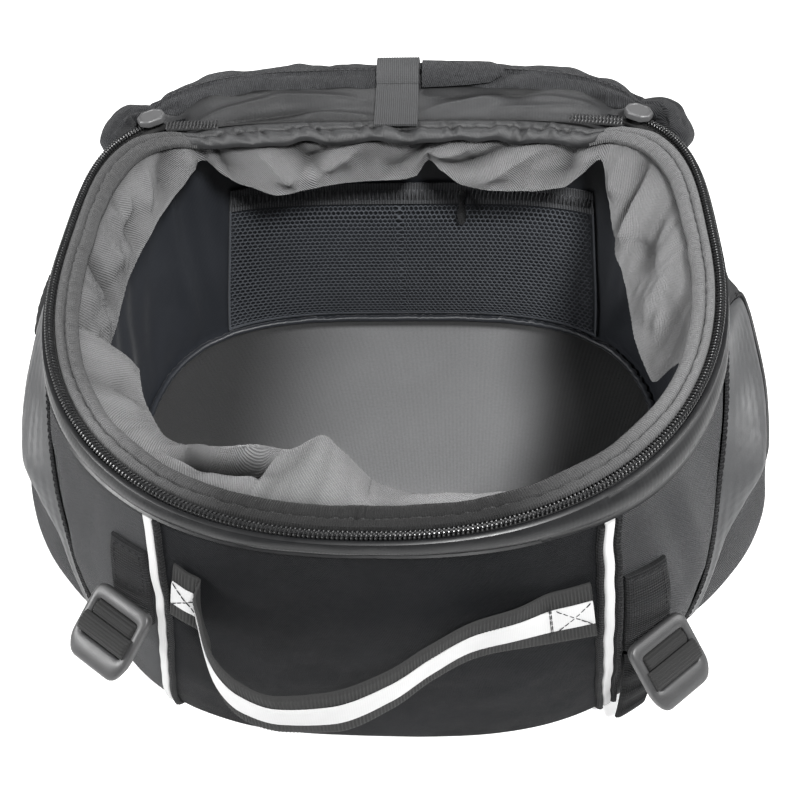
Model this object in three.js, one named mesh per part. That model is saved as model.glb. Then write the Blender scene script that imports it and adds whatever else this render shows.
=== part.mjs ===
import * as THREE from 'three';

// Soft open-topped gear bag in millimetres: X to the right, Y to the back, Z up, floor at Z 0.
const WALL_TOP = 182.5;
const WALL_FOOT = 5.4;
const WALL_THICK = 4;
const LINING_THICK = 1;
const LINING_GAP = 1.1;
const FIT_GAP = 0.4;
const REFERENCE_Z = 100;
const STEP = 18;

const ZIP_END = 441;
const BACK_SEAM = 446;
const SEAM_GAP = 0.2;

const COIL_OUT = 1.2;
const COIL_WIDE = 4.6;
const COIL_TALL = 3.6;
const COIL_FOOT = 184.4;
const HEM_FOOT = 184.6;
const HEM_THICK = 2.2;
const HEM_DIP = 3;
const SKIRT_THICK = 1.6;

const STRIP_WIDE = 5;
const HANDLE_WIDE = 36;
const HANDLE_THICK = 1.8;
const STRIPE_WIDE = 14;
const TAB_THICK = 2;
const ELASTIC_FROM_X = -10.5;
const ELASTIC_TO_X = 15;
const LID_THICK = 5;
const BOXING_TALL = 22;

// Outer wall sections from the floor up: half width, reach to front and back, widest line and plan powers.
const WALL_SECTIONS = [
  { z: 0, half: 164, front: 144, back: 155, wide: 16, frontPower: 2.8, backPower: 3.4 },
  { z: 3, half: 172, front: 151.5, back: 163, wide: 16, frontPower: 2.8, backPower: 3.4 },
  { z: 10, half: 178, front: 156, back: 168.5, wide: 17, frontPower: 2.85, backPower: 3.4 },
  { z: 60, half: 181, front: 158, back: 170, wide: 22, frontPower: 2.95, backPower: 3.5 },
  { z: 110, half: 180, front: 154.5, back: 170, wide: 29, frontPower: 2.9, backPower: 3.7 },
  { z: 140, half: 178.5, front: 151.5, back: 169.5, wide: 34, frontPower: 2.72, backPower: 3.8 },
  { z: 165, half: 176, front: 149.5, back: 169, wide: 38, frontPower: 2.45, backPower: 3.9 },
  { z: 195, half: 173, front: 146, back: 167.4, wide: 41, frontPower: 2.2, backPower: 4.1 },
];
const WALL_ROWS = [WALL_FOOT, 12, 45, 85, 110, 126, 143, 160, WALL_TOP];

// Front seams from the floor up: distance along the wall from the middle of the front to each of them.
const SEAM_ROWS = [
  { z: 5, left: 125, right: 127 },
  { z: 25, left: 120, right: 121 },
  { z: 66, left: 110.5, right: 113.2 },
  { z: 98, left: 106, right: 110.8 },
  { z: 120, left: 104.6, right: 111.5 },
  { z: 145, left: 108.5, right: 115.5 },
  { z: 165, left: 114, right: 121 },
  { z: 185, left: 118.5, right: 126 },
];

// Main bulges and hollows of the wall: where along it, at what height, how wide and how far out.
const WALL_DENTS = [
  { along: 150, spread: 70, z: 95, reach: 75, out: 7 },
  { along: -20, spread: 60, z: 60, reach: 50, out: -2.5 },
  { along: -170, spread: 45, z: 130, reach: 45, out: -2 },
  { along: 40, spread: 40, z: 130, reach: 40, out: 2 },
];

// Lower edge of the film band below the zip.
const FILM_EDGE = [
  { along: -441, low: 172 },
  { along: -250, low: 171 },
  { along: -120, low: 173 },
  { along: 0, low: 174 },
  { along: 90, low: 171 },
  { along: 150, low: 166 },
  { along: 230, low: 168 },
  { along: 441, low: 172 },
];

// Hem ledge inside the zip: outer and inner edge measured inward from the wall.
const HEM_ROWS = [
  { along: 0, outer: 4.3, inner: 25 },
  { along: 60, outer: 4.3, inner: 25 },
  { along: 115, outer: 4.3, inner: 21 },
  { along: 150, outer: 4.3, inner: 17 },
  { along: 200, outer: 4.3, inner: 15.5 },
  { along: 330, outer: 4.3, inner: 16.5 },
  { along: 410, outer: 6, inner: 18 },
  { along: 432, outer: 12, inner: 22 },
  { along: 452, outer: 21.5, inner: 32 },
  { along: 490, outer: 21.5, inner: 35 },
  { along: 584, outer: 21.5, inner: 37 },
];

// Lower edge of the hanging liner, fold by fold: distance in from the wall and drop below the hem.
const SKIRT_FOLDS = [
  { along: 0, inset: 40, drop: 24 },
  { along: 16, inset: 31, drop: 33 },
  { along: 60, inset: 26, drop: 36 },
  { along: 117, inset: 24, drop: 34 },
  { along: 150, inset: 19, drop: 28 },
  { along: 196, inset: 17, drop: 24 },
  { along: 226, inset: 20, drop: 30 },
  { along: 238, inset: 27, drop: 52 },
  { along: 262, inset: 32, drop: 57 },
  { along: 330, inset: 38, drop: 56 },
  { along: 390, inset: 36, drop: 44 },
  { along: 420, inset: 30, drop: 33 },
  { along: 446, inset: 28, drop: 20 },
  { along: 458, inset: 30, drop: 33 },
  { along: 484, inset: 37, drop: 34 },
  { along: 535, inset: 40, drop: 33 },
  { along: 564, inset: 30, drop: 26 },
  { along: 584, inset: 34, drop: 33 },
  { along: 633, inset: 38, drop: 33 },
  { along: 674, inset: 33, drop: 40 },
  { along: 700, inset: 27, drop: 24 },
  { along: 726, inset: 25, drop: 18 },
  { along: 755, inset: 31, drop: 30 },
  { along: 782, inset: 28, drop: 44 },
  { along: 823, inset: 20, drop: 54 },
  { along: 858, inset: 19, drop: 62 },
  { along: 890, inset: 20, drop: 62 },
  { along: 922, inset: 21, drop: 54 },
  { along: 938, inset: 34, drop: 34 },
  { along: 962, inset: 44, drop: 24 },
  { along: 1005, inset: 38, drop: 16 },
  { along: 1041, inset: 29, drop: 10 },
  { along: 1066, inset: 24, drop: 12 },
  { along: 1088, inset: 36, drop: 9 },
  { along: 1114, inset: 57, drop: 7 },
  { along: 1134, inset: 56, drop: 8 },
  { along: 1155, inset: 49, drop: 14 },
];

// Padded fold of the lid along the back edge: centre line and radius, right half.
const FOLD_STATIONS = [
  { x: 0, y: 186.5, z: 186, r: 12 },
  { x: 60, y: 185.5, z: 186, r: 12 },
  { x: 105, y: 180, z: 186, r: 11 },
  { x: 130, y: 171, z: 185.5, r: 8.5 },
  { x: 147, y: 160.5, z: 185, r: 5.5 },
];

// Middle line of the turned back lid: down behind the back wall and out over the floor.
const LID_PATH = [
  { s: 0, y: 203, z: 183 },
  { s: 40, y: 203, z: 144 },
  { s: 80, y: 205, z: 104 },
  { s: 110, y: 208, z: 74.5 },
  { s: 135, y: 213.5, z: 50 },
  { s: 158, y: 223.5, z: 29.5 },
  { s: 178, y: 237.5, z: 15.5 },
  { s: 196, y: 254, z: 8.5 },
  { s: 216, y: 273.5, z: 5 },
  { s: 250, y: 307.4, z: 3.4 },
  { s: 304, y: 361.4, z: 3 },
];
const LID_EDGE_S = [0, 30, 70, 110, 135, 158, 178, 196, 216, 240, 260, 276, 288];

// Side pocket sections: front edge, crease, belly and back edge along Y, with their reach beyond the wall.
const POCKET_ROWS = [
  { z: 163, front: -8, crease: 12, creaseOut: 1.2, belly: 38, bellyOut: 1.4, back: 68 },
  { z: 155, front: -14, crease: 28, creaseOut: 11, belly: 46, bellyOut: 6, back: 82 },
  { z: 140, front: -29, crease: 10, creaseOut: 17, belly: 45, bellyOut: 11.5, back: 92 },
  { z: 125, front: -48, crease: -18, creaseOut: 21, belly: 42, bellyOut: 17, back: 99 },
  { z: 110, front: -62, crease: -43, creaseOut: 22, belly: 30, bellyOut: 22, back: 103 },
  { z: 95, front: -72, crease: -60, creaseOut: 15, belly: 10, bellyOut: 26, back: 105 },
  { z: 80, front: -82, crease: -74, creaseOut: 7, belly: -15, bellyOut: 28, back: 105 },
  { z: 60, front: -92, crease: -86, creaseOut: 4.5, belly: -36, bellyOut: 29, back: 103 },
  { z: 40, front: -96, crease: -91, creaseOut: 4, belly: -42, bellyOut: 23, back: 99 },
  { z: 24, front: -92, crease: -87, creaseOut: 2.4, belly: -38, bellyOut: 11, back: 92 },
  { z: 15, front: -84, crease: -79, creaseOut: 1.2, belly: -28, bellyOut: 1.6, back: 85 },
];
const POCKET_REACH = { left: 0.84, right: 1 };
const POCKET_THICK = 2;
const POCKET_CLEAR = 0.7;
const TAPE_WIDE = 9;

// Free run of the carrying strap between its two sewn ends.
const HANDLE_RUN = [
  { x: -79, y: -152, z: 126, lean: 0 },
  { x: -76.5, y: -160, z: 123, lean: -1 },
  { x: -74, y: -168, z: 119.5, lean: -3 },
  { x: -69, y: -177, z: 115, lean: -3 },
  { x: -58.5, y: -185.5, z: 110.5, lean: -2 },
  { x: -41, y: -190.5, z: 108.5, lean: 1 },
  { x: -18, y: -188.5, z: 106.5, lean: -2 },
  { x: 8, y: -179, z: 110, lean: 0 },
  { x: 27, y: -168, z: 116, lean: 3 },
  { x: 46, y: -159.5, z: 121.5, lean: 3 },
  { x: 65.5, y: -154.6, z: 123.5, lean: 0 },
];
const HANDLE_LEFT_END = { from: -98, to: -84, fromZ: 135, toZ: 128.5 };
const HANDLE_RIGHT_END = { from: 85, to: 104.4, fromZ: 121.5, toZ: 121.5 };

// Sewn strap tabs above the buckles, row by row from the top.
const TABS = {
  left: [
    { z: 151, from: -133, to: -113.6 },
    { z: 130, from: -132.5, to: -109 },
    { z: 115, from: -132, to: -108.7 },
    { z: 101, from: -132.5, to: -109.6 },
  ],
  right: [
    { z: 135, from: 120.6, to: 142 },
    { z: 118, from: 118.6, to: 142 },
    { z: 100, from: 118, to: 142 },
    { z: 84, from: 118.6, to: 142.5 },
  ],
};

// Ladder buckles: middle of the upper bar on its tab, compass heading of the face and lean from the wall.
const BUCKLES = {
  left: { along: -119, z: 118, out: 3.9, heading: 235, lean: 56 },
  right: { along: 128, z: 100, out: 4.6, heading: 310, lean: 48 },
};
const BUCKLE = { wide: 36, tall: 30, corner: 5, slotWide: 27, slotTall: 19, bar: 7, tongue: 7.5, thick: 4.6 };

const COLOURS = {
  shell: { colour: 0x2b2d31, roughness: 0.85 },
  film: { colour: 0x55575a, roughness: 0.45 },
  lining: { colour: 0x1b1e26, roughness: 0.5 },
  liner: { colour: 0x6d6d6d, roughness: 0.85 },
  webbing: { colour: 0x1d1e20, roughness: 0.8 },
  coil: { colour: 0x2a2b2d, roughness: 0.5 },
  reflective: { colour: 0xe6e6e6, roughness: 0.4 },
  plastic: { colour: 0x77797b, roughness: 0.45 },
  slider: { colour: 0x9a9a98, roughness: 0.4 },
  mesh: { colour: 0x23262e, roughness: 0.8 },
  fold: { colour: 0x2e3034, roughness: 0.95 },
};

function lerp(a, b, t) {
  return a + (b - a) * t;
}

function rowAt(table, key, value) {
  const last = table.length - 1;
  if (value <= table[0][key]) return { ...table[0] };
  if (value >= table[last][key]) return { ...table[last] };
  const i = table.findIndex((row) => row[key] >= value);
  const t = (value - table[i - 1][key]) / (table[i][key] - table[i - 1][key]);
  const out = {};
  for (const name of Object.keys(table[i])) out[name] = lerp(table[i - 1][name], table[i][name], t);
  return out;
}

// Plan of one wall section: a rounded shape with a fuller front and a squarer back.
function planPoint(angle, z, out) {
  const row = rowAt(WALL_SECTIONS, 'z', z);
  const c = Math.cos(angle);
  const s = Math.sin(angle);
  const power = s < 0 ? row.frontPower : row.backPower;
  const deep = (s < 0 ? row.wide + row.front : row.back - row.wide) + out;
  const x = (row.half + out) * Math.sign(c) * Math.abs(c) ** (2 / power);
  const y = row.wide + deep * Math.sign(s) * Math.abs(s) ** (2 / power);
  return new THREE.Vector3(x, y, z);
}

// Distance along the wall at the reference height, zero at the middle of the front, plus to the right.
const ANGLES = [];
const DISTANCES = [];
for (let i = 0; i <= 1800; i += 1) {
  const angle = THREE.MathUtils.degToRad(-90 + i * 0.1);
  ANGLES.push(angle);
  if (i === 0) {
    DISTANCES.push(0);
  } else {
    const before = planPoint(ANGLES[i - 1], REFERENCE_Z, 0);
    DISTANCES.push(DISTANCES[i - 1] + planPoint(angle, REFERENCE_Z, 0).distanceTo(before));
  }
}
const HALF_ROUND = DISTANCES[DISTANCES.length - 1];
const ROUND = 2 * HALF_ROUND;

function wrap(along) {
  return along - ROUND * Math.round(along / ROUND);
}

function angleAt(along) {
  const a = wrap(along);
  const size = Math.min(Math.abs(a), HALF_ROUND);
  let low = 0;
  let high = DISTANCES.length - 1;
  while (high - low > 1) {
    const mid = (low + high) >> 1;
    if (DISTANCES[mid] <= size) low = mid;
    else high = mid;
  }
  const t = (size - DISTANCES[low]) / (DISTANCES[high] - DISTANCES[low]);
  const angle = lerp(ANGLES[low], ANGLES[high], t);
  return a < 0 ? -Math.PI - angle : angle;
}

function dentAt(along, z) {
  let out = 0;
  for (const dent of WALL_DENTS) {
    const u = wrap(along - dent.along) / dent.spread;
    const v = (z - dent.z) / dent.reach;
    const r = u * u + v * v;
    if (r < 1) out += dent.out * (1 - r) ** 2;
  }
  return out;
}

function wall(along, z, out = 0) {
  return planPoint(angleAt(along), z, out + dentAt(along, z));
}

function sideX(y, z) {
  const row = rowAt(WALL_SECTIONS, 'z', z);
  const deep = y < row.wide ? row.wide + row.front : row.back - row.wide;
  const power = y < row.wide ? row.frontPower : row.backPower;
  return row.half * (1 - Math.abs((y - row.wide) / deep) ** power) ** (1 / power);
}

function steps(from, to, size) {
  const count = Math.max(1, Math.round(Math.abs(to - from) / size));
  return Array.from({ length: count + 1 }, (unused, i) => lerp(from, to, i / count));
}

function solid(points, faces) {
  let volume = 0;
  for (const [a, b, c] of faces) {
    volume += points[a].dot(new THREE.Vector3().crossVectors(points[b], points[c]));
  }
  const index = faces.flatMap(([a, b, c]) => (volume < 0 ? [a, c, b] : [a, b, c]));
  const geometry = new THREE.BufferGeometry();
  geometry.setAttribute('position', new THREE.Float32BufferAttribute(points.flatMap((p) => p.toArray()), 3));
  geometry.setIndex(index);
  geometry.computeVertexNormals();
  return geometry;
}

// Wall between two grids of points; a looped one closes on itself along its length.
function sheet(front, back, looped = false) {
  const n = front.length;
  const m = front[0].length;
  const points = [...front.flat(), ...back.flat()];
  const at = (side, i, j) => side * n * m + (i % n) * m + j;
  const faces = [];
  const quad = (a, b, c, d) => faces.push([a, b, c], [a, c, d]);
  const spans = looped ? n : n - 1;
  for (let i = 0; i < spans; i += 1) {
    for (let j = 0; j < m - 1; j += 1) {
      quad(at(0, i, j), at(0, i + 1, j), at(0, i + 1, j + 1), at(0, i, j + 1));
      quad(at(1, i, j), at(1, i, j + 1), at(1, i + 1, j + 1), at(1, i + 1, j));
    }
    quad(at(0, i, 0), at(1, i, 0), at(1, i + 1, 0), at(0, i + 1, 0));
    quad(at(0, i, m - 1), at(0, i + 1, m - 1), at(1, i + 1, m - 1), at(1, i, m - 1));
  }
  if (!looped) {
    for (let j = 0; j < m - 1; j += 1) {
      quad(at(0, 0, j), at(0, 0, j + 1), at(1, 0, j + 1), at(1, 0, j));
      quad(at(0, n - 1, j), at(1, n - 1, j), at(1, n - 1, j + 1), at(0, n - 1, j + 1));
    }
  }
  return solid(points, faces);
}

// Stack of closed rings, capped at both ends from a middle point.
function stack(rings) {
  const n = rings[0].length;
  const points = rings.flat();
  const faces = [];
  for (let k = 0; k < rings.length - 1; k += 1) {
    for (let i = 0; i < n; i += 1) {
      const a = k * n + i;
      const b = k * n + ((i + 1) % n);
      faces.push([a, b, b + n], [a, b + n, a + n]);
    }
  }
  const middle = (ring) => ring.reduce((sum, p) => sum.add(p), new THREE.Vector3()).divideScalar(n);
  points.push(middle(rings[0]), middle(rings[rings.length - 1]));
  const top = (rings.length - 1) * n;
  for (let i = 0; i < n; i += 1) {
    const next = (i + 1) % n;
    faces.push([next, i, points.length - 2], [top + i, top + next, points.length - 1]);
  }
  return solid(points, faces);
}

// Normals of a point grid, from its neighbours.
function gridNormals(grid, looped = false) {
  const n = grid.length;
  const m = grid[0].length;
  return grid.map((line, i) =>
    line.map((point, j) => {
      const before = looped ? (i + n - 1) % n : Math.max(i - 1, 0);
      const after = looped ? (i + 1) % n : Math.min(i + 1, n - 1);
      const along = grid[after][j].clone().sub(grid[before][j]);
      const across = line[Math.min(j + 1, m - 1)].clone().sub(line[Math.max(j - 1, 0)]);
      return along.cross(across).normalize();
    })
  );
}

function thicken(grid, amount, looped = false) {
  const normals = gridNormals(grid, looped);
  return grid.map((line, i) => line.map((point, j) => point.clone().addScaledVector(normals[i][j], amount)));
}

// Flat strap along a path, given its width direction at each point.
function strap(path, widths, thick, lift = 0) {
  const grid = path.map((p, i) => [p.clone().sub(widths[i]), p.clone().add(widths[i])]);
  const low = lift === 0 ? grid : thicken(grid, lift);
  return sheet(thicken(grid, lift + thick), low);
}

const bag = new THREE.Group();
bag.name = 'motorcycle_gear_bag';

function add(name, geometry, look, parent = bag) {
  const { colour, roughness } = COLOURS[look];
  const material = new THREE.MeshStandardMaterial({ color: colour, roughness, metalness: 0 });
  const mesh = new THREE.Mesh(geometry, material);
  mesh.name = name;
  parent.add(mesh);
  return mesh;
}

// Base, wall panels and inner lining.
function seamAt(side, z) {
  const row = rowAt(SEAM_ROWS, 'z', z);
  return side === 'left' ? -row.left : row.right;
}
function wallPanel(from, to) {
  const columns = steps(0, 1, STEP / Math.abs(to(REFERENCE_Z) - from(REFERENCE_Z)));
  const face = (out) => columns.map((t) => WALL_ROWS.map((z) => wall(lerp(from(z), to(z), t), z, out)));
  return sheet(face(0), face(-WALL_THICK));
}

function ringAt(z, out, size = STEP) {
  return steps(0, ROUND, size).slice(0, -1).map((a) => wall(a, z, out));
}

const leftSeam = (shift) => (z) => seamAt('left', z) + shift;
const rightSeam = (shift) => (z) => seamAt('right', z) + shift;
const fixed = (along) => () => along;
add('base_panel', stack([ringAt(0, 0), ringAt(3, 0), ringAt(WALL_FOOT - FIT_GAP, 0)]), 'shell');
add('front_panel', wallPanel(leftSeam(SEAM_GAP), rightSeam(-SEAM_GAP)), 'shell');
add('side_panel_right', wallPanel(rightSeam(SEAM_GAP), fixed(BACK_SEAM - SEAM_GAP)), 'shell');
add('side_panel_left', wallPanel(fixed(SEAM_GAP - BACK_SEAM), leftSeam(-SEAM_GAP)), 'shell');
add('back_panel', wallPanel(fixed(BACK_SEAM + SEAM_GAP), fixed(ROUND - BACK_SEAM - SEAM_GAP)), 'shell');

const liningOut = -WALL_THICK - LINING_GAP;
const liningColumns = steps(0, ROUND, STEP).slice(0, -1);
const liningRows = [...WALL_ROWS.slice(0, -1), WALL_TOP - 1];
add(
  'wall_lining',
  sheet(
    liningColumns.map((a) => liningRows.map((z) => wall(a, z, liningOut))),
    liningColumns.map((a) => liningRows.map((z) => wall(a, z, liningOut - LINING_THICK))),
    true
  ),
  'lining'
);
const floorOut = liningOut - LINING_THICK - FIT_GAP;
const floorTop = WALL_FOOT + 2;
add('floor_lining', stack([ringAt(WALL_FOOT, floorOut), ringAt(floorTop, floorOut - 0.6)]), 'lining');

const pipingOuter = floorOut - 1;
const pipingInner = pipingOuter - 3.4;
const pipingFoot = floorTop + FIT_GAP;
const pipingTop = pipingFoot + 2.2;
add(
  'floor_piping',
  sheet(
    liningColumns.map((a) => [wall(a, pipingTop, pipingOuter), wall(a, pipingTop, pipingInner)]),
    liningColumns.map((a) => [wall(a, pipingFoot, pipingOuter), wall(a, pipingFoot, pipingInner)]),
    true
  ),
  'lining'
);

// Mesh pocket on the inner back wall, wider at its foot, with its zip band and pull.
const MESH_RIGHT = { foot: 148, top: 132 };
const MESH_LEFT = { foot: 136, top: 115 };
const MESH_FOOT = 12;
const MESH_TOP = 111;
const MESH_SLACK = 5;
const meshOut = liningOut - LINING_THICK - FIT_GAP;
function meshAlong(u, z) {
  const rise = (z - MESH_FOOT) / (MESH_TOP - MESH_FOOT);
  const right = lerp(MESH_RIGHT.foot, MESH_RIGHT.top, rise);
  const left = lerp(MESH_LEFT.foot, MESH_LEFT.top, rise);
  return HALF_ROUND + lerp(-right, left, (u + 1) / 2);
}
// Room for the lining's flat facets where the wall turns at both ends.
function cornerRoom(u) {
  return 1.2 * Math.max(0, Math.abs(u) - 0.5);
}
const meshColumns = steps(-1, 1, 0.125);
function meshGrid(extra) {
  return meshColumns.map((u) =>
    steps(MESH_FOOT, MESH_TOP, 25).map((z) => {
      const v = (2 * (z - MESH_FOOT)) / (MESH_TOP - MESH_FOOT) - 1;
      const slack = MESH_SLACK * (1 - u ** 4) * (1 - v ** 4);
      return wall(meshAlong(u, z), z, meshOut - slack - cornerRoom(u) - extra);
    })
  );
}
add('mesh_pocket', sheet(meshGrid(0), meshGrid(1)), 'mesh');
const ZIP_BAND_TOP = 128;
const bandRows = [MESH_TOP + FIT_GAP, ZIP_BAND_TOP];
add(
  'mesh_zip_band',
  sheet(
    meshColumns.map((u) => bandRows.map((z) => wall(meshAlong(u, z), z, meshOut - cornerRoom(u)))),
    meshColumns.map((u) => bandRows.map((z) => wall(meshAlong(u, z), z, meshOut - cornerRoom(u) - 1.6)))
  ),
  'webbing'
);
const PULL_X = 41;
const pullShape = new THREE.Shape([
  new THREE.Vector2(-3, 0),
  new THREE.Vector2(3, 0),
  new THREE.Vector2(3.6, 8),
  new THREE.Vector2(2.4, 26),
  new THREE.Vector2(-2.4, 26),
  new THREE.Vector2(-3.6, 8),
]);
const pullSolid = new THREE.ExtrudeGeometry(pullShape, { depth: 2, bevelEnabled: false });
const meshPull = add('mesh_pull', pullSolid, 'slider');
meshPull.rotation.set(Math.PI / 2, 0, 0);
meshPull.position.set(PULL_X, wall(HALF_ROUND - PULL_X, 120, meshOut - 3.8).y, 98.5);

// Zip tape, coil and film band around the mouth.
const zipColumns = steps(-ZIP_END, ZIP_END, 18);
add(
  'zip_tape',
  sheet(
    zipColumns.map((a) => [wall(a, 184.1, -1), wall(a, 184.1, -6.4)]),
    zipColumns.map((a) => [wall(a, 182.9, -1), wall(a, 182.9, -6.4)])
  ),
  'webbing'
);
const coilMid = COIL_OUT - COIL_WIDE / 2;
add(
  'zip_coil',
  sheet(
    zipColumns.map((a) => [
      wall(a, COIL_FOOT + 1.6, COIL_OUT),
      wall(a, COIL_FOOT + COIL_TALL, coilMid),
      wall(a, COIL_FOOT + 1.6, COIL_OUT - COIL_WIDE),
    ]),
    zipColumns.map((a) => [
      wall(a, COIL_FOOT, COIL_OUT),
      wall(a, COIL_FOOT, coilMid),
      wall(a, COIL_FOOT, COIL_OUT - COIL_WIDE),
    ])
  ),
  'coil'
);
function filmGrid(extra) {
  return zipColumns.map((a) => {
    const { low } = rowAt(FILM_EDGE, 'along', a);
    const high = 184;
    return [
      wall(a, low, 0.7 + extra),
      wall(a, lerp(low, high, 0.5), 1.8 + extra),
      wall(a, high, 0.7 + extra),
    ];
  });
}
add('film_band', sheet(filmGrid(1), filmGrid(0)), 'film');

// Hem ledge and the liner that hangs from it.
const hemColumns = steps(0, ROUND, 18).slice(0, -1);
function hemGrid(side) {
  return hemColumns.map((a) => {
    const row = rowAt(HEM_ROWS, 'along', Math.abs(wrap(a)));
    const lift = side * HEM_THICK;
    const mid = (row.outer + row.inner) / 2;
    return [
      wall(a, HEM_FOOT + lift, -row.outer),
      wall(a, HEM_FOOT + lift * 1.25 - HEM_DIP * 0.2, -mid),
      wall(a, HEM_FOOT + lift - HEM_DIP, -row.inner),
    ];
  });
}
add('liner_hem', sheet(hemGrid(1), hemGrid(0), true), 'liner');

const skirtTable = [...SKIRT_FOLDS, { ...SKIRT_FOLDS[0], along: ROUND }];
const skirtColumns = skirtTable.slice(0, -1).flatMap((row, i) => {
  const parts = Math.max(1, Math.round((skirtTable[i + 1].along - row.along) / 22));
  return Array.from({ length: parts }, (unused, k) => lerp(row.along, skirtTable[i + 1].along, k / parts));
});
const skirtGrid = skirtColumns.map((a) => {
  const edge = rowAt(skirtTable, 'along', a);
  const hem = rowAt(HEM_ROWS, 'along', Math.abs(wrap(a)));
  const topZ = HEM_FOOT - HEM_DIP - FIT_GAP;
  const topOut = -hem.inner + 1;
  return [0, 0.25, 0.5, 0.75, 1].map((t) => {
    const z = topZ - edge.drop * t ** 1.15;
    return wall(a, z, lerp(topOut, -edge.inset, t ** 0.8));
  });
});
add('liner_skirt', sheet(thicken(skirtGrid, -SKIRT_THICK, true), skirtGrid, true), 'liner');

// Back edge: hinge strip, padded fold of the lid, elastic and strap end.
const foldTable = [
  ...FOLD_STATIONS.slice(1).reverse().map((row) => ({ ...row, x: -row.x })),
  ...FOLD_STATIONS,
];
const foldAt = (x) => rowAt(foldTable, 'x', x);
function foldRing(x, grow = 0) {
  const here = foldAt(x);
  const before = foldAt(x - 2);
  const after = foldAt(x + 2);
  const tangent = new THREE.Vector3(4, after.y - before.y, after.z - before.z).normalize();
  const side = new THREE.Vector3(0, 0, 1).cross(tangent).normalize();
  const up = tangent.clone().cross(side);
  const centre = new THREE.Vector3(x, here.y, here.z);
  return (turn) =>
    centre
      .clone()
      .addScaledVector(side, (here.r + grow) * Math.cos(turn))
      .addScaledVector(up, (here.r + grow) * Math.sin(turn));
}
const FOLD_SIDES = 10;
const foldRings = steps(-146, 146, 18).map((x) => {
  const ring = foldRing(x);
  return Array.from({ length: FOLD_SIDES }, (unused, k) => ring((2 * Math.PI * k) / FOLD_SIDES));
});
add('lid_fold', stack(foldRings), 'fold');

function backWallY(x) {
  let low = HALF_ROUND - 160;
  let high = HALF_ROUND;
  for (let k = 0; k < 30; k += 1) {
    const mid = (low + high) / 2;
    if (wall(mid, 182, 0).x > Math.abs(x)) low = mid;
    else high = mid;
  }
  return wall((low + high) / 2, 182, 0).y;
}
const HINGE_HALF = 122;
function hingeGrid(drop) {
  return steps(-HINGE_HALF, HINGE_HALF, 16).map((x) => {
    const inner = backWallY(x) - 20.4;
    const here = foldAt(x);
    const outer = here.y - here.r - 0.9;
    return [
      new THREE.Vector3(x, inner, 186 - drop),
      new THREE.Vector3(x, lerp(inner, outer, 0.6), 187 - drop),
      new THREE.Vector3(x, outer, 189 - drop),
    ];
  });
}
add('hinge_strip', sheet(hingeGrid(0), hingeGrid(1.8)), 'lining');

function overFold(x, grow, turns) {
  const ring = foldRing(x, grow);
  return turns.map((turn) => ring(THREE.MathUtils.degToRad(turn)));
}
const ELASTIC_TURNS = [152, 130, 108, 86, 64, 42, 20];
const elasticGrid = [ELASTIC_FROM_X, ELASTIC_TO_X].map((x) => {
  const inner = backWallY(x) - 20.4;
  return [
    new THREE.Vector3(x, inner - 9, 188.2),
    new THREE.Vector3(x, inner, 188.2),
    new THREE.Vector3(x, inner + 14, 189.2),
    ...overFold(x, 1.2, ELASTIC_TURNS),
  ];
});
add('elastic_loop', sheet(thicken(elasticGrid, 1.6), elasticGrid), 'webbing');

const STRAP_END = [
  { x: 17, from: 158, to: 74 },
  { x: 30, from: 156, to: 78 },
  { x: 45, from: 152, to: 80 },
  { x: 58, from: 146, to: 84 },
  { x: 66, from: 126, to: 104 },
];
const strapEnd = STRAP_END.map((row) =>
  overFold(row.x, 0.8, steps(row.from, row.to, (row.from - row.to) / 4))
);
add('strap_end', sheet(thicken(strapEnd, 2.6), strapEnd), 'fold');

// Turned back lid with its boxing and coil.
function lidHalf(s) {
  const row = rowAt(WALL_SECTIONS, 'z', 180);
  return sideX(row.back - 22 - s, 180);
}
function lidPoint(f, s) {
  const row = rowAt(LID_PATH, 's', s);
  const x = f * lidHalf(s);
  const edge = Math.min(Math.abs(x), 147);
  const here = foldAt(edge);
  const hug = here.y + here.r - (FOLD_STATIONS[0].y + FOLD_STATIONS[0].r);
  const fade = Math.max(0, 1 - s / 120) ** 1.5;
  return new THREE.Vector3(x, row.y + hug * fade, row.z);
}
const lidColumns = steps(-1, 1, 0.2);
const lidMid = lidColumns.map((f) => LID_EDGE_S.map((s) => lidPoint(f, s)));
add('lid_panel', sheet(thicken(lidMid, LID_THICK / 2), thicken(lidMid, -LID_THICK / 2)), 'shell');

const lidNormals = gridNormals(lidMid);
const LID_MIDDLE_S = 165;
function lidInner(i, j, inset, lift) {
  const s = LID_EDGE_S[j];
  const ahead = rowAt(LID_PATH, 's', s + 5);
  const behind = rowAt(LID_PATH, 's', s - 5);
  const down = new THREE.Vector3(0, ahead.y - behind.y, ahead.z - behind.z).normalize();
  const p = lidMid[i][j].clone();
  const inward = new THREE.Vector3(-p.x, 0, 0).addScaledVector(down, LID_MIDDLE_S - s).normalize();
  p.addScaledVector(inward, inset);
  return p.addScaledVector(lidNormals[i][j], LID_THICK / 2 + lift);
}
const lastS = LID_EDGE_S.length - 1;
const lastF = lidColumns.length - 1;
const lidOutline = [
  ...LID_EDGE_S.slice(2).map((s, k) => [0, k + 2]),
  ...lidColumns.slice(1, -1).map((f, k) => [k + 1, lastS]),
  ...LID_EDGE_S.slice(2).map((s, k) => [lastF, lastS - k]),
];
function boxingGrid(inset, low, high) {
  return lidOutline.map(([i, j]) => [lidInner(i, j, inset, low), lidInner(i, j, inset, high)]);
}
add('lid_boxing', sheet(boxingGrid(1.5, 0.9, BOXING_TALL), boxingGrid(4, 0.9, BOXING_TALL)), 'film');
add('lid_coil', sheet(boxingGrid(0.5, BOXING_TALL + 0.4, BOXING_TALL + 4),
  boxingGrid(4.5, BOXING_TALL + 0.4, BOXING_TALL + 4)), 'coil');

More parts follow.
